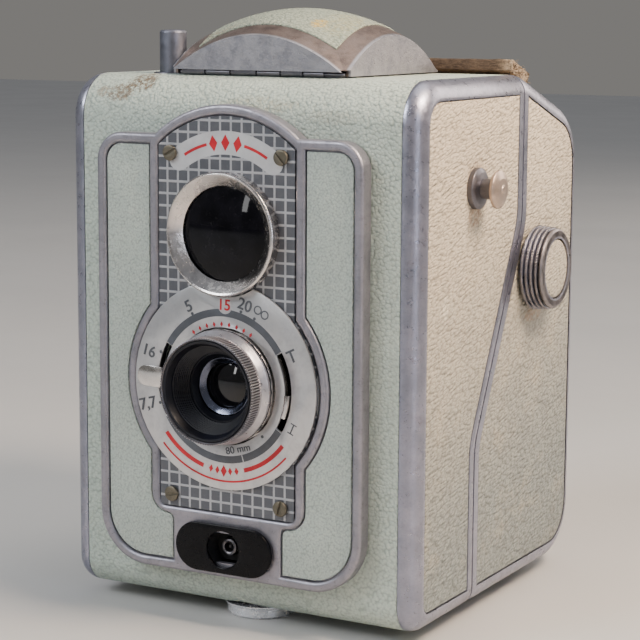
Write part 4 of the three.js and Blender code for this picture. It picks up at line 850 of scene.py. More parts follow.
def frame_blank():
    """A side casting: flat outside, with a quarter-round bead all along its edge."""
    sections = [(0, WRAP_HALF)]
    for k in range(1, 10):
        a = math.pi / 2 * k / 9
        sections.append((BEAD - BEAD * math.cos(a), WRAP_HALF + BEAD * math.sin(a)))
    verts = []
    for distance, x in sections:
        ring = inset(SIDE, distance) if distance else SIDE
        verts += [(x, y, z) for y, z in ring]
    obj = bare_piece("blank", verts, tube_faces(len(sections), len(SIDE)))
    return carve(obj, hole("x", inset(SIDE, BEAD - 1), WRAP_HALF - 1, WRAP_HALF + 1.7))


def seam_cutter(shift):
    return hole("x", behind_seam(shift), 20, 60)


def pin_cutter(centre):
    """Room for the stud's shank or the knob's shaft."""
    return hole("x", circle(centre, 2.3), 30, 50)


def field():
    """The sunk field of a side casting."""
    return slab("field", "x", [inset(SIDE, BEAD)], HALF - 0.9, HALF + 5)


def sheet():
    """The covering that lies in the field."""
    return slab("sheet", "x", [inset(SIDE, BEAD + 0.3)], HALF - 0.6, HALF - 0.1, 0.16)


def make_sides():
    """The four side castings and their coverings, made for the right and mirrored."""
    body_side = carve(frame_blank(), seam_cutter(-0.25))
    carve(body_side, carve(field(), seam_cutter(-2.25)))
    carve(body_side, pin_cutter(STUD))
    back_side = carve(frame_blank(), seam_cutter(0.25), "INTERSECT")
    carve(back_side, carve(field(), seam_cutter(2.25), "INTERSECT"))
    carve(back_side, box_cutter((30, 50), (20, 29.7), (-1, 1.65)))
    body_sheet = carve(sheet(), seam_cutter(-2.55))
    carve(body_sheet, pin_cutter(STUD))
    back_sheet = carve(sheet(), seam_cutter(2.55), "INTERSECT")
    plan = [
        (body_side, "side_frame", "body", "cast", 0.3),
        (back_side, "back_frame", "back", "cast", 0.3),
        (body_sheet, "side_covering", "body", "side", 0),
        (back_sheet, "back_side_covering", "back", "side", 0),
    ]
    for obj, node, body, mat, width in plan:
        if width:
            bevel(obj, width, 50)
        left = mirrored(obj, node + "_left_fine")
        dress(left, body, MAT[mat], node + "_left")
        if body == "back":
            carve(obj, pin_cutter(SHAFT))
        obj.name = node + "_right_fine"
        dress(obj, body, MAT[mat], node + "_right")


def make_studs():
    for side, name in ((1, "right"), (-1, "left")):
        collar = [(0, 40), (4.3, 40), (4.3, 43.0, 0.3), (3.4, 43.5, 0.2), (2.1, 43.7), (2.1, 46.3), (0, 46.3)]
        head = [(0, 46.2), (2.1, 46.2), (3.3, 46.4), (3.95, 46.75, 0.25), (3.95, 47.35, 0.3)]
        head += [(3.3, 47.75, 0.4), (2.3, 48.05, 0.5), (1.0, 48.1, 0.2), (0.75, 48.38, 0.15), (0, 48.4)]
        collar, head = ([(p[0], side * p[1], *p[2:]) for p in profile] for profile in (collar, head))
        turned("stud_collar_" + name, "body", "x", STUD, collar, MAT["steel"])
        turned("stud_head_" + name, "body", "x", STUD, head, MAT["stud"], "strap_stud_" + name)


def make_knob():
    seat = HALF + 0.5
    profile = [(0, seat), (7.6, seat)]
    for i in range(4):
        x = seat + 0.2 + i * 1.05
        r = 9.2 - i * 0.08
        profile += [(r - 0.95, x), (r - 0.12, x + 0.08, 0.1), (r, x + 0.34)]
        profile += [(r - 0.12, x + 0.6, 0.1), (r - 0.95, x + 0.7)]
    face = seat + 4.3
    profile += [(8.75, face + 0.1), (8.85, face + 0.45, 0.25), (8.35, face + 0.9, 0.3)]
    profile += [(7.0, face + 0.9, 0.2), (6.65, face + 0.6), (6.6, face), (0, face)]

    def notches(r, h, k):
        return 0.13 * (k % 2) if r > 8.6 and h < face + 0.1 else 0

    turned("winding_knob_fine", "winder", "x", SHAFT, profile, MAT["knob"], None, 180, notches, 40)
    disc = [(0, face), (6.45, face), (6.45, face + 0.55, 0.25), (5.9, face + 0.72, 0.3), (0, face + 0.75)]
    turned("knob_disc", "winder", "x", SHAFT, disc, MAT["side"], "knob_covering")


def make_bush():
    """The tripod bush, its thread a wave of a quarter-inch screw's pitch in a finely divided bore."""
    low, top, pitch, step, segments = -BUSH_HEIGHT, 3.8, 1.27, 0.16, 96
    profile = [(3.2, low), (3.6, low, 0.1), (7.0, low, 0.35), (7.5, low + 0.5, 0.2), (7.5, -0.5, 0.3)]
    profile += [(8.1, -0.1, 0.1), (8.1, 0.15), (4.4, 0.15), (4.4, top), (3.2, top)]
    profile += [(3.2, top - step * i) for i in range(1, int((top - low) / step))]

    def thread(r, h, k):
        inside = r < 3.3 and low + 0.2 < h < top - 0.2
        return -0.16 * math.cos(2 * math.pi * (h / pitch - k / segments)) if inside else 0

    name, node = "tripod_bush_fine", "tripod_bush"
    turned(name, "body", "z", BUSH, profile, MAT["bush"], node, segments, thread, 40, True)


# ------------------------------------------------------------------ front


TOWER = 18.5
TOWER_FOOT = 20.4
TOWER_HEAD = 26.2
DIAL_EYE = 24.2


def trim_outline(border):
    """The outer edge of the raised trim, so far inwards."""
    half, low, high = 31.7 - border, 8.1 + border, 100.3 - border
    foot, head = 11.5 - border, 6 - border
    return rounded([(-half, low, foot), (half, low, foot), (half, high, head), (-half, high, head)], 14)


def tower_outline(half, radius, bottom, corner=0.0):
    """The tower in the middle of the trim, round at its head about the finder."""
    reach = math.degrees(math.acos(half / radius))
    foot = [(-half, bottom), (half, bottom)]
    if corner:
        foot = [(-half, bottom + 20), (-half, bottom, corner), (half, bottom, corner), (half, bottom + 20)]
        foot = rounded(foot, 5)
    return foot + arc((0, FINDER_Z), radius, reach, 180 - reach, 40)


def outlines_of(obj, y):
    """The boundary loops, in (x, z), of a solid's flat faces at one depth."""
    work = bmesh.new()
    work.from_mesh(obj.data)
    level = place((0, y, 0)).y
    flat = {f for f in work.faces if all(abs(v.co.y - level) < 2e-6 for v in f.verts)}
    after = {}
    for f in flat:
        for loop in f.loops:
            others = [g for g in loop.edge.link_faces if g is not f]
            if not others or others[0] not in flat:
                after[loop.vert.index] = loop.link_loop_next.vert.index
    work.verts.ensure_lookup_table()
    loops = []
    while after:
        start, here = next(iter(after.items()))
        del after[start]
        chain = [start]
        while here != start:
            chain.append(here)
            here = after.pop(here)
        points = [(work.verts[i].co - ORIGIN) / MM for i in chain]
        loops.append([(p.x, p.z) for p in points])
    work.free()
    return [thinned(loop) for loop in loops]


def thinned(loop, least=0.12):
    """The loop without points that crowd their neighbours or lie on a straight line."""
    kept = []
    for p in loop:
        if not kept or math.dist(p, kept[-1]) > least:
            kept.append(p)
    if math.dist(kept[0], kept[-1]) < least:
        kept.pop()
    out = []
    for i, p in enumerate(kept):
        a, b = Vector(p) - Vector(kept[i - 1]), Vector(kept[(i + 1) % len(kept)]) - Vector(p)
        if abs(a.angle(b)) > 1e-4:
            out.append(p)
    return out


def wing(gap, start, end):
    """The right wing of the trim's field, beside the tower."""
    whole = slab("wing", "y", [trim_outline(2.1 + gap)], start, end)
    reach, foot, shoulder = TOWER + gap, 13.1 + gap, TOWER_FOOT - gap
    keep = [(-60, -10), (foot, -10), (foot, shoulder, max(1.5 - gap, 0.4)), (reach, shoulder, 4 + gap)]
    carve(whole, hole("y", rounded(keep + [(reach, 130), (-60, 130)]), start + 1, end - 1))
    return carve(whole, hole("y", circle((0, LENS_Z), DIAL_EYE + gap), start + 1, end - 1))


def united(outlines, start, end):
    """Several outlines drawn out along y and joined to one solid."""
    obj = slab("union", "y", [outlines[0]], start, end)
    for outline in outlines[1:]:
        carve(obj, slab("part", "y", [outline], start, end), "UNION")
    return obj


def make_trim():
    """The raised trim: half-round ridges round two covered wings and the tower."""
    edge, deep = 2.1, (1, -6)
    tower = tower_outline(TOWER, TOWER_HEAD, TOWER_FOOT)
    eye = circle((0, LENS_Z), DIAL_EYE, 120)
    whole = united([trim_outline(0), tower, eye], -0.3, TRIM_FACE)
    tower = tower_outline(TOWER - edge, TOWER_HEAD - edge, 21.9, 1.6)
    eye = circle((0, LENS_Z), DIAL_EYE - edge, 120)
    middle = united([tower, eye], *deep)
    right = wing(0, *deep)
    left = mirrored(right, "wing_left")
    for cutter in (middle, right, left):
        carve(whole, cutter)
    loops = outlines_of(whole, TRIM_FACE)
    bpy.data.objects.remove(whole)
    ridges = slab("trim_ridges", "y", loops, -0.3, TRIM_FACE, 0.75, 5)
    carve(ridges, hole("y", stadium(*SYNC_BED), *deep))
    dress(ridges, "body", MAT["trim"], "front_trim", 45)
    tower = tower_outline(TOWER - 1.2, TOWER_HEAD - 1.2, 21)
    eye = circle((0, LENS_Z), DIAL_EYE - 1.2, 120)
    bed = united([trim_outline(1.2), tower, eye], -0.35, BED_FACE)
    for outline in (circle((0, FINDER_Z), FINDER_BORE), circle((0, LENS_Z), LENS_BORE), stadium(*SYNC_BED)):
        carve(bed, hole("y", outline, *deep))
    bed.name = "trim_bed"
    dress(bed, "body", MAT["trim"])


def make_insets():
    start, face = -3.0, -3.75
    solid = wing(0.28, start, face)
    loops = outlines_of(solid, face)
    bpy.data.objects.remove(solid)
    right = slab("inset_right", "y", loops[:1], start, face, 0.2)
    left = mirrored(right, "inset_left")
    dress(right, "body", MAT["inset"], "front_inset_right")
    dress(left, "body", MAT["inset"], "front_inset_left")


def band_outline(centre, inner, outer, low, high, round_ends=False):
    """A sector of a ring, its ends half-round where asked."""
    if not round_ends:
        return arc(centre, outer, low, high, 48) + arc(centre, inner, high, low, 48)
    middle, half = (inner + outer) / 2, (outer - inner) / 2
    first, last = polar(centre, middle, low), polar(centre, middle, high)
    return (
        arc(centre, outer, low, high, 48)
        + arc(last, half, high, high + 180, 10)[1:-1]
        + arc(centre, inner, high, low, 48)
        + arc(first, half, low + 180, low + 360, 10)[1:-1]
    )


def recolour(node, mat):
    """Gives a CAD node that is kept its material."""
    materials = frame["nodes"][node].data.materials
    materials.clear()
    materials.append(MAT[mat])


def print_on(name, outlines, face, mat, thick=0.05):
    """A thin print lying on a face."""
    return dress(slab(name, "y", outlines, face, face - thick), "body", MAT[mat])


def print_dial(name, outlines, mat="ink", thick=0.04, lift=0.0):
    return print_on("dial_" + name, outlines, DIAL_FACE - lift, mat, thick)


def lozenge(centre, at, degrees, half):
    """A small diamond with an axis along the radius."""
    u, v = polar(centre, at, degrees)
    return [polar((u, v), half * (1.35 if k % 2 == 0 else 0.8), degrees + 90 * k) for k in range(4)]


def make_face():
    """The patterned plate with its name band, whose name is left out, and its four screws."""
    recolour("face_plate", "grid")
    centre = (0, FINDER_Z)
    print_on("name_band", [band_outline(centre, 16.1, 20.9, 53, 127, True)], PLATE_FACE, "band")
    marks = [band_outline(centre, 18.2, 18.8, 58, 76), band_outline(centre, 18.2, 18.8, 104, 122)]
    marks += [lozenge(centre, 18.5, 90 + d, 1.25) for d in (-9, 0, 9)]
    for i, mark in enumerate(marks):
        print_on(f"name_band_mark_{i + 1}", [mark], PLATE_FACE - 0.05, "red", 0.03)
    screws = ((-13.2, 96.5, 28), (13.2, 96.5, -50), (-13.2, 24.7, 12), (13.2, 24.7, 75))
    for i, (x, z, turn) in enumerate(screws):
        head = slab(f"screw_{i + 1}", "y", [circle((x, z), 1.65, 40)], PLATE_FACE, PLATE_FACE - 0.85, 0.32, 3)
        slot = [polar((x, z), 2.2, turn + a) for a in (-7, 7, 173, 187)]
        carve(head, hole("y", slot, PLATE_FACE - 0.5, PLATE_FACE - 2))
        dress(bevel(head, 0.04, 50), "body", MAT["brass"], f"face_screw_{i + 1}")


# A figure on the dial: text, distance from the centre, direction and turn in degrees, size, material.
DIAL_FIGURES = (
    ("5", 18.2, 117.8, 27.8, 2.5, "ink"),
    ("15", 17.0, 88.6, -1.4, 2.35, "red"),
    ("20", 18.1, 73.5, -17, 2.5, "ink"),
    ("16", 19.0, 162, -16, 2.5, "ink"),
    ("7,7", 19.4, 196.5, 14.5, 2.6, "ink"),
    ("T", 17.9, 25.5, 25.5, 2.7, "ink"),
    ("80 mm", 13.2, -75.0, 15, 1.6, "ink"),
)
# The dots beside the scales: distance from the centre and direction.
DIAL_DOTS = ((16.4, 117.4), (16.4, 75.2), (16.4, 63.3), (16.45, 159), (16.4, 197.5), (13.3, -45.8))


def make_dial():
    from_cad("dial_plate", MAT["dial"], 0.12)
    centre = (0, LENS_Z)
    for i, (low, high) in enumerate(((31.6, 149.4), (208.6, 328.4))):
        print_dial(f"ring_{i + 1}", [band_outline(centre, 14.55, 16.1, low, high)], thick=0.03)
    print_dial("index", [circle(polar(centre, 16.7, 88.6), 1.6, 32)], "dial", 0.03, 0.03)
    print_dial("tick", [band_outline(centre, 14.6, 16.05, -73.0, -72.2)], "dial", 0.02, 0.03)
    for i, (radius, degrees) in enumerate(DIAL_DOTS):
        print_dial(f"dot_{i + 1}", [circle(polar(centre, radius, degrees), 0.34, 16)])
    make_ornaments(centre)
    for i, (text, radius, degrees, turn, size, mat) in enumerate(DIAL_FIGURES):
        figure(f"dial_figure_{i + 1}", text, polar(centre, radius, degrees), turn, size, MAT[mat])
    for i, at in enumerate((63.6, 57.9)):
        middle = polar(centre, 18.4, at)
        print_dial(f"infinity_{i + 1}", [circle(middle, 0.95, 32), circle(middle, 0.66, 32)])
    print_dial("mark_instant", [serif_stroke(polar(centre, 17.8, -24.1), -24)])


def serif_stroke(at, turn):
    """The upright stroke with feet that marks the instant setting."""
    foot, stem, half, inner = 0.75, 0.17, 1.15, 0.9
    right = [(foot, -half), (foot, -inner), (stem, -inner), (stem, inner), (foot, inner), (foot, half)]
    left = [(-u, v) for u, v in reversed(right)]
    spin = Matrix.Rotation(math.radians(turn), 2)
    return [tuple(Vector(at) + spin @ Vector(p)) for p in right + left]


def make_ornaments(centre):
    """Plain red arcs and lozenges on the dial."""
    arcs = ((17.35, 18.25, 218, 254), (17.35, 18.25, 286, 322), (19.75, 20.15, 222, 318))
    for i, (inner, outer, low, high) in enumerate(arcs):
        print_dial(f"arc_{i + 1}", [band_outline(centre, inner, outer, low, high)], "red")
    for i, at in enumerate((260, 265, 270, 275, 280)):
        print_dial(f"lozenge_{i + 1}", [lozenge(centre, 17.8, at, 0.92 if at == 270 else 0.62)], "red")
    for i, at in enumerate(range(60, 125, 8)):
        print_dial(f"bead_{i + 1}", [lozenge(centre, 12.95, at, 0.42)], "red")


def figure(name, text, at, turn, size, mat):
    """A number printed on the dial."""
    curve = bpy.data.curves.new(name, "FONT")
    curve.body = text
    curve.size = size * 1.35
    curve.align_x = "CENTER"
    curve.align_y = "CENTER"
    curve.extrude = 0.04
    curve.offset = 0.06 if size > 2 else 0.02
    data = curve_mesh(name, curve)
    low = Vector([min(v.co[i] for v in data.vertices) for i in range(3)])
    high = Vector([max(v.co[i] for v in data.vertices) for i in range(3)])
    data.transform(Matrix.Translation(-(low + high) / 2))
    data.transform(Matrix.Rotation(math.radians(turn), 4, "Z"))
    return dress(stood(name, data, "y", (at[0], DIAL_FACE - 0.05, at[1])), "body", mat)


def make_levers():
    from_cad("aperture_lever", MAT["chrome"], 0.22)
    from_cad("selector_lever", MAT["chrome"], 0.16)


def make_sync():
    """The flash contact: a black plate, and a sleeve and pin in a deep cup."""
    plate = [stadium(11.6, 5.2), circle((0, SYNC_Z), 3.9, 64)]
    plate = slab("sync_plate_fine", "y", plate, -4.6, -5.6, 0.3, 4)
    dress(plate, "body", MAT["bakelite"], "sync_plate")
    cup = [(3.95, -5.3), (3.95, -4.6), (3.75, -1.2), (2.05, -1.2), (2.05, 1.4), (4.6, 1.4), (4.6, -5.0)]
    turned("sync_cup", "body", "y", (0, SYNC_Z), cup, MAT["matt"], None, 64, None, 32, True)
    sleeve = [(1.1, 2.4), (1.1, -2.85, 0.08), (1.4, -3.0, 0.08), (1.75, -2.85, 0.08), (1.75, 2.4)]
    turned("sync_sleeve", "body", "y", (0, SYNC_Z), sleeve, MAT["socket"], "sync_socket", 48, None, 32, True)
    core = [(0, 2.2), (1.05, 2.2), (1.05, -1.2), (0.45, -1.2)]
    core += [(0.45, -2.2, 0.12), (0.25, -2.4, 0.1), (0, -2.4)]
    turned("sync_pin", "body", "y", (0, SYNC_Z), core, MAT["matt"], None, 32)


def make_finder():
    centre = (0, FINDER_Z)
    bezel = [(9.9, 2), (9.9, -4.5), (9.78, -4.8, 0.1), (11.95, -6.7, 0.15), (12.35, -6.95, 0.15)]
    bezel += [(12.72, -6.6, 0.2), (12.72, -4.05), (10.6, -4.05), (10.6, 2)]
    turned("finder_bezel_fine", "body", "y", centre, bezel, MAT["bezel"], "finder_bezel", 144, None, 32, True)
    pane = dome_profile(9.7, -2.4, -4.4, 1.5)
    turned("finder_lens_fine", "body", "y", centre, pane, MAT["pane"], "finder_lens", 96, None, 50)


def dome_profile(edge, back, rim, bulge, steps=14):
    """A lens flat at the back and domed in front."""
    profile = [(0, back), (edge, back)]
    for i in range(steps + 1):
        share = 1 - i / steps
        profile.append((edge * share, rim - bulge * (1 - share**2)))
    return profile


def serrated(r, h, k):
    """The fine notches of the focusing ring's rim, and the shallower ones of its grip."""
    if r > 10.9 and h < -11.4:
        return -0.34 * (k % 2)
    return -0.28 * (k % 2) if 11.0 < r < 11.3 and h < -8.4 else 0


def make_lens():
    centre = (0, LENS_Z)
    mount = [(9.6, 3.4), (9.6, -5.9), (11.2, -5.9), (12.0, -5.75, 0.2)]
    mount += [(12.0, -5.2), (10.8, -5.2), (10.8, 3.4)]
    turned("lens_mount_ring", "body", "y", centre, mount, MAT["satin"], None, 128, None, 32, True)
    ring = [(10.55, -8.9), (10.55, -11.8), (10.75, -12.0), (11.1, -11.95), (11.14, -11.5), (10.98, -11.35)]
    ring += [(11.06, -11.2), (11.06, -8.45), (10.98, -8.3), (10.98, -8.0, 0.1), (11.75, -6.95, 0.15)]
    ring += [(11.9, -6.75), (11.9, -6.15), (10.0, -6.15), (10.0, -7.9)]
    turned("focus_ring_fine", "focus", "y", centre, ring, MAT["knurl"], "focus_ring", 240, serrated, 18, True)
    funnel = funnel_profile()
    turned("lens_funnel", "focus", "y", centre, funnel, MAT["cone"], "lens_cone", 128, None, 28, True)
    retainer = [(6.12, -4.15), (6.12, -4.72, 0.1), (5.9, -4.78, 0.1)]
    retainer += [(4.75, -3.95, 0.1), (4.75, -3.7), (5.1, -3.75)]
    turned("lens_retainer", "focus", "y", centre, retainer, MAT["retainer"], None, 96, None, 40, True)
    dome = dome_profile(6.5, -0.9, -2.6, 1.75)
    turned("front_lens_fine", "cell", "y", centre, dome, MAT["glass"], "front_lens", 96, None, 50)


def funnel_profile():
    """The black cone before the lens, stepped inside."""
    profile = [(9.85, -11.75), (10.4, -11.9, 0.1), (10.4, -8.7), (9.7, -7.6), (9.7, -6.0), (7.9, -6.0)]
    profile += [(7.9, -4.8), (CONE_INNER, -4.8, 0.05), (7.0, -6.1), (7.3, -6.1)]
    steps, inner, foot, height = 13, 7.3, -6.1, 5.6
    for i in range(1, steps):
        t = i / steps
        r, y = inner + (CONE_OUTER - inner) * t, foot - height * t
        groove = 0.14 if t < 0.75 else 0.02
        profile += [(r - groove, y), (r + groove, y - 0.08)]
    return profile


def make_release():
    profile = [(0, 97), (1.2, 97), (1.2, 106.4), (2.9, 106.4), (2.9, 120.75, 0.3)]
    profile += [(2.55, 121.2, 0.3), (0.9, 121.3), (0, 121.2)]
    turned("release_button_fine", "release", "z", RELEASE, profile, MAT["post"], "release_button", 64)
    collar = [(3.15, 111.6), (3.15, 112.25, 0.1), (4.1, 112.25, 0.15), (4.3, 111.9), (4.3, 111.6)]
    turned("release_collar", "body", "z", RELEASE, collar, MAT["steel"], None, 64, None, 32, True)


# ------------------------------------------------------------------ hood


def vault(x, y):
    """The height of the hood's top over a place, measured from its middle."""
    u, v = abs(x) / HOOD_HALF, abs(y) / HOOD_HALF
    low, high = min(u, v), max(u, v)
    return HOOD_BASE + 8.2 * (1 - low * low) + 5.2 * (1 - high * high)


def square_rim(count):
    """The numbers of the points round a square sheet of points, in order."""
    size = count + 1
    rim = list(range(count))
    rim += [count + size * j for j in range(count)]
    rim += [size * count + count - i for i in range(count)]
    return rim + [size * (count - j) for j in range(count)]


def sheet_faces(start, count, flip):
    """Triangles over a square sheet of points, parted along its diagonals."""
    size = count + 1
    faces = []
    for j in range(count):
        for i in range(count):
            a, b = start + j * size + i, start + j * size + i + 1
            c, d = b + size, a + size
            same = (i < count / 2) == (j < count / 2)
            pair = [(a, b, c), (a, c, d)] if same else [(a, b, d), (b, c, d)]
            faces += [t[::-1] for t in pair] if flip else pair
    return faces


def vaulted(half, count, shift, base):
    """Rows of points over the hood's top, so far above it and never under its base."""
    rows = []
    for j in range(count + 1):
        for i in range(count + 1):
            x, y = half * (2 * i / count - 1), half * (2 * j / count - 1)
            rows.append((x, HOOD_Y + y, max(vault(x, y) + shift, base + 0.35)))
    return rows


def vault_cap(name, half, wall, base, count=44):
    """A vaulted square cap with walls down to its base, open underneath."""
    top = vaulted(half, count, 0, base)
    below = vaulted(half - wall, count, -wall, base)
    rim = square_rim(count)
    faces = sheet_faces(0, count, False) + sheet_faces(len(top), count, True)
    verts = top + below
    for points in (top, below):
        verts += [(*points[k][:2], base) for k in rim]
    lower, n = 2 * len(top), len(rim)
    inner = lower + n
    for k in range(n):
        m = (k + 1) % n
        faces.append((rim[m], rim[k], lower + k, lower + m))
        faces.append((lower + m, lower + k, inner + k, inner + m))
        faces.append((inner + m, inner + k, len(top) + rim[k], len(top) + rim[m]))
    return bare_piece(name, verts, faces)


def vault_patch(name, half, lift, sunk, count=36):
    """A thick covering that follows the hood's top."""
    top = vaulted(half, count, lift, HEIGHT)
    below = vaulted(half, count, -sunk, HEIGHT)
    rim = square_rim(count)
    faces = sheet_faces(0, count, False) + sheet_faces(len(top), count, True)
    for k, m in zip(rim, rim[1:] + rim[:1]):
        faces.append((m, k, len(top) + k, len(top) + m))
    return bare_piece(name, top + below, faces)


KNUCKLE_LINE = (8.4, 112.7)


def knuckle(start, end):
    barrel = [(0, start), (0.6, start, 0.12), (0.6, end, 0.12), (0, end)]
    return turned("knuckle", "body", "x", KNUCKLE_LINE, barrel, MAT["steel"], None, 24)


def make_hood():
    cap = vault_cap("hood_cap", HOOD_HALF, 1.1, HOOD_BASE)
    front = HOOD_Y - HOOD_HALF
    carve(cap, box_cutter((-30, 30), (front + 0.3, front + 2.2), (110, 113.6)))
    carve(cap, box_cutter((-30, 30), (front - 1, front + 0.4), (110, 113.2)))
    bevel(cap, 0.42, 40, 3)
    dress(cap, "hood", MAT["hood"], "hood_cover", 9)
    patch = vault_patch("hood_leather", HOOD_HALF - 4.7, 0.32, 0.12)
    bevel(patch, 0.16, 50)
    dress(patch, "hood", MAT["top"], "hood_covering", 9)
    make_hood_hinge()


def make_hood_hinge():
    """The piano hinge at the hood's foot: every second knuckle is the hood's own."""
    spans = [(-18, -12.5), (-6, 0), (6, 11)]
    parts = [knuckle(*s) for s in spans]
    for start, end in spans:
        web = [(7.8, 112.7), (8.5, 112.7), (8.5, 114.1), (7.8, 114.1)]
        parts.append(slab("web", "x", [web], start, end, 0.1))
    dress(merged("hood_knuckles", parts), "hood", MAT["steel"])
    leaf = [knuckle(*s) for s in ((-12.2, -6.3), (0.3, 5.7), (11.3, 16))]
    plate = [(-18.5, 8.6), (19.5, 8.6), (19.5, 11.4), (-18.5, 11.4)]
    leaf.append(slab("leaf", "z", [plate], 112.1, 112.42, 0.08))
    pin = [(0, -18.6), (0.3, -18.6), (0.3, 20.6), (0, 20.6)]
    leaf.append(turned("pin", "body", "x", KNUCKLE_LINE, pin, MAT["steel"], None, 16))
    dress(merged("hood_leaf", leaf), "body", MAT["steel"], "hood_hinge")


# ------------------------------------------------------------------ strap and back


def roof_point(x, along, up):
    """A point over the sloping roof: so far behind the strap's front edge, so high above the covering."""
    slope = math.atan(ROOF_SLOPE)
    c, s = math.cos(slope), math.sin(slope)
    return (x, STRAP_FRONT + along * c + up * s, HEIGHT + 0.034 - along * s + up * c)


def make_strap():
    """A thick worn strap, frayed where it tore off."""
    random.seed(7)
    columns = 90
    left, right, middle = -36.0, 37.6, STRAP_WIDTH / 2
    ring = rounded([(0.15, 0.8, 0.35), (9.85, 0.8, 0.35), (9.85, 3.55, 0.6), (0.15, 3.55, 0.6)], 4)
    verts = []
    for i in range(columns + 1):
        t = i / columns
        x = left + (right - left) * t
        for a, h in ring:
            shake = noise.noise(Vector((x * 0.35, a * 0.6, h)))
            ragged = 0.8 * noise.noise(Vector((a * 1.7, h * 2.2, 3))) if i == columns else 0
            a = middle + (a - middle) * (1 + 0.02 * shake)
            h += 0.14 * shake
            verts.append(roof_point(x + ragged, a, h))
    count = len(ring)
    strap = bare_piece("hand_strap", verts, tube_faces(columns + 1, count))
    carve(strap, tilted_rod(1.5, -1, 7))
    dress(strap, "back", MAT["strap"], "carrying_strap", 50)
    fibres = []
    for _ in range(34):
        a, h = random.uniform(0.3, 9.7), random.uniform(1.1, 3.4)
        length = random.uniform(0.5, 1.7)
        lean, rise = random.uniform(-0.6, 0.6), random.uniform(-0.5, 0.8)
        fibres.append(fibre(right - 0.4, a, h, length, lean, rise))
    dress(merged("strap_fray", fibres), "back", MAT["strap"])


def tilted_rod(radius, low, high):
    """A rod square to the roof where the rivet holds the strap."""
    verts = []
    ring = circle((RIVET_X, STRAP_WIDTH / 2), radius, 32)
    for h in (low, high):
        verts += [roof_point(u, v, h) for u, v in ring]
    return bare_piece("cutter", verts, tube_faces(2, 32))


def fibre(x, a, h, length, lean, rise):
    """One torn thread, thinning to its tip."""
    verts = []
    steps, sides = 5, 5
    for i in range(steps + 1):
        t = i / steps
        radius = 0.13 * (1 - 0.85 * t)
        middle = (x + length * t, a + lean * t * t, h + rise * t * t)
        for k in range(sides):
            u, v = polar((middle[1], middle[2]), radius, 360 * k / sides)
            verts.append(roof_point(middle[0], u, v))
    return bare_piece("fibre", verts, tube_faces(steps + 1, sides))


def make_back():
    window = [(0, 80.6), (4.7, 80.6), (4.7, 82.1, 0.2), (4.2, 82.3, 0.2), (0, 82.35)]
    turned("red_window_fine", "back", "y", (0, LENS_Z), window, MAT["window"], "red_window", 64)
    from_cad("window_slide", MAT["slide"], 0.15)
    from_cad("back_latch", MAT["chrome"], 0.18)
    from_cad("back_shell", MAT["steel"], 0.12)
    from_cad("body_shell", MAT["steel"], 0.12)


def make_spring():
    """The release spring, copied from its CAD node onto a mesh of its own."""
    spring = from_cad("release_spring", MAT["steel"], 0)
    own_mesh(spring)


# The CAD nodes that are kept as they are, and their materials.
KEPT = {
    "finder_case": "matt",
    "finder_mirror": "mirror",
    "field_glass": "field",
    "film_chamber": "matt",
    "spool_plate_left": "steel",
    "spool_plate_right": "steel",
    "lens_mount": "matt",
    "lens_cell": "black",
    "aperture_plate": "matt",
    "shutter_blade": "matt",
    "pressure_plate": "matt",
    "winding_knob": "cast",
    "drive_gear": "brass",
    "takeup_spool": "matt",
    "supply_spool": "matt",
    "film_roller_top": "chrome",
    "film_roller_bottom": "chrome",
}


def dress_kept():
    for node, mat in KEPT.items():
        recolour(node, mat)


# ------------------------------------------------------------------ studio


def aim(obj, target):
    obj.rotation_euler = (Vector(target) - obj.location).to_track_quat("-Z", "Y").to_euler()


def area(name, at, target, size, power, tint):
    light = bpy.data.lights.new(name, "AREA")
    light.shape = "RECTANGLE"
    light.size, light.size_y = size
    light.energy = power
    light.color = tint
    obj = linked(name, light)
    obj.location = at
    aim(obj, target)


def make_floor():
    data = bpy.data.meshes.new("floor")
    work = bmesh.new()
    bmesh.ops.create_grid(work, x_segments=8, y_segments=8, size=2.5)
    work.to_mesh(data)
    work.free()
    floor = linked("floor", data)
    data.materials.append(floor_stone())


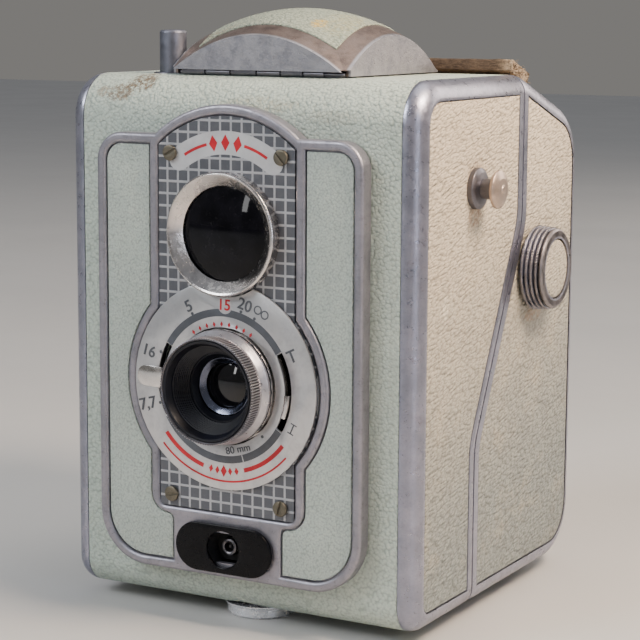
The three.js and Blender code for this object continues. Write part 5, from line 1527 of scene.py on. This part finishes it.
def make_world():
    """Soft light from all round, cooler towards the sky."""
    world = bpy.data.worlds.new("studio")
    bpy.context.scene.world = world
    world.use_nodes = True
    tree = world.node_tree
    back = tree.nodes["Background"]
    coord = tree.nodes.new("ShaderNodeTexCoord")
    split = tree.nodes.new("ShaderNodeSeparateXYZ")
    ramp = tree.nodes.new("ShaderNodeValToRGB")
    tree.links.new(coord.outputs["Generated"], split.inputs[0])
    tree.links.new(split.outputs["Z"], ramp.inputs[0])
    tree.links.new(ramp.outputs[0], back.inputs["Color"])
    ramp.color_ramp.elements[0].position = 0.0
    ramp.color_ramp.elements[0].color = (0.62, 0.60, 0.57, 1)
    ramp.color_ramp.elements[1].position = 0.75
    ramp.color_ramp.elements[1].color = (0.86, 0.9, 0.98, 1)
    back.inputs["Strength"].default_value = 0.32


def make_lights():
    """Lights placed in the frame's metres, with their power in watts."""
    target = (0, 0, 0.06)
    area("key", (-0.55, -0.75, 0.75), target, (0.5, 0.5), 9.3, (0.92, 0.96, 1.0))
    area("warm", (0.235, -0.03, 0.33), (0.04, 0.0, 0.11), (0.12, 0.12), 2.5, (1.0, 0.8, 0.62))
    area("strip", (0.62, -0.36, 0.25), target, (0.07, 0.5), 0.8, (0.8, 0.86, 1.0))
    area("pane", (-0.2, -0.95, 0.36), target, (0.07, 0.2), 0.5, (1.0, 1.0, 1.0))
    area("back", (0.42, 0.85, 0.42), target, (0.6, 0.5), 5, (1.0, 0.86, 0.74))
    area("top", (0.1, 0.25, 0.95), target, (0.6, 0.6), 2.6, (1.0, 0.97, 0.93))


def make_camera():
    """The camera, in front and to the right, looking a little down."""
    data = bpy.data.cameras.new("view")
    data.lens = 112.1
    data.sensor_width = 36
    data.clip_start = 0.01
    data.dof.use_dof = False
    obj = linked("view", data)
    yaw, pitch, roll = math.radians(29.0), math.radians(8.88), math.radians(0.32)
    look = Vector((-math.sin(yaw) * math.cos(pitch), math.cos(yaw) * math.cos(pitch), -math.sin(pitch)))
    right = Vector((math.cos(yaw), math.sin(yaw), 0))
    up = right.cross(look)
    right_turned = right * math.cos(roll) + up * math.sin(roll)
    up_turned = up * math.cos(roll) - right * math.sin(roll)
    turn = Matrix((right_turned, up_turned, -look)).transposed().to_4x4()
    obj.matrix_world = Matrix.Translation(place((212.55, -347.61, 125.88))) @ turn
    bpy.context.scene.camera = obj


make_coverings()
make_sides()
make_studs()
make_knob()
make_bush()
make_trim()
make_insets()
make_face()
make_dial()
make_levers()
make_sync()
make_finder()
make_lens()
make_release()
make_hood()
make_strap()
make_back()
make_spring()
dress_kept()
make_floor()
make_world()
make_lights()
make_camera()
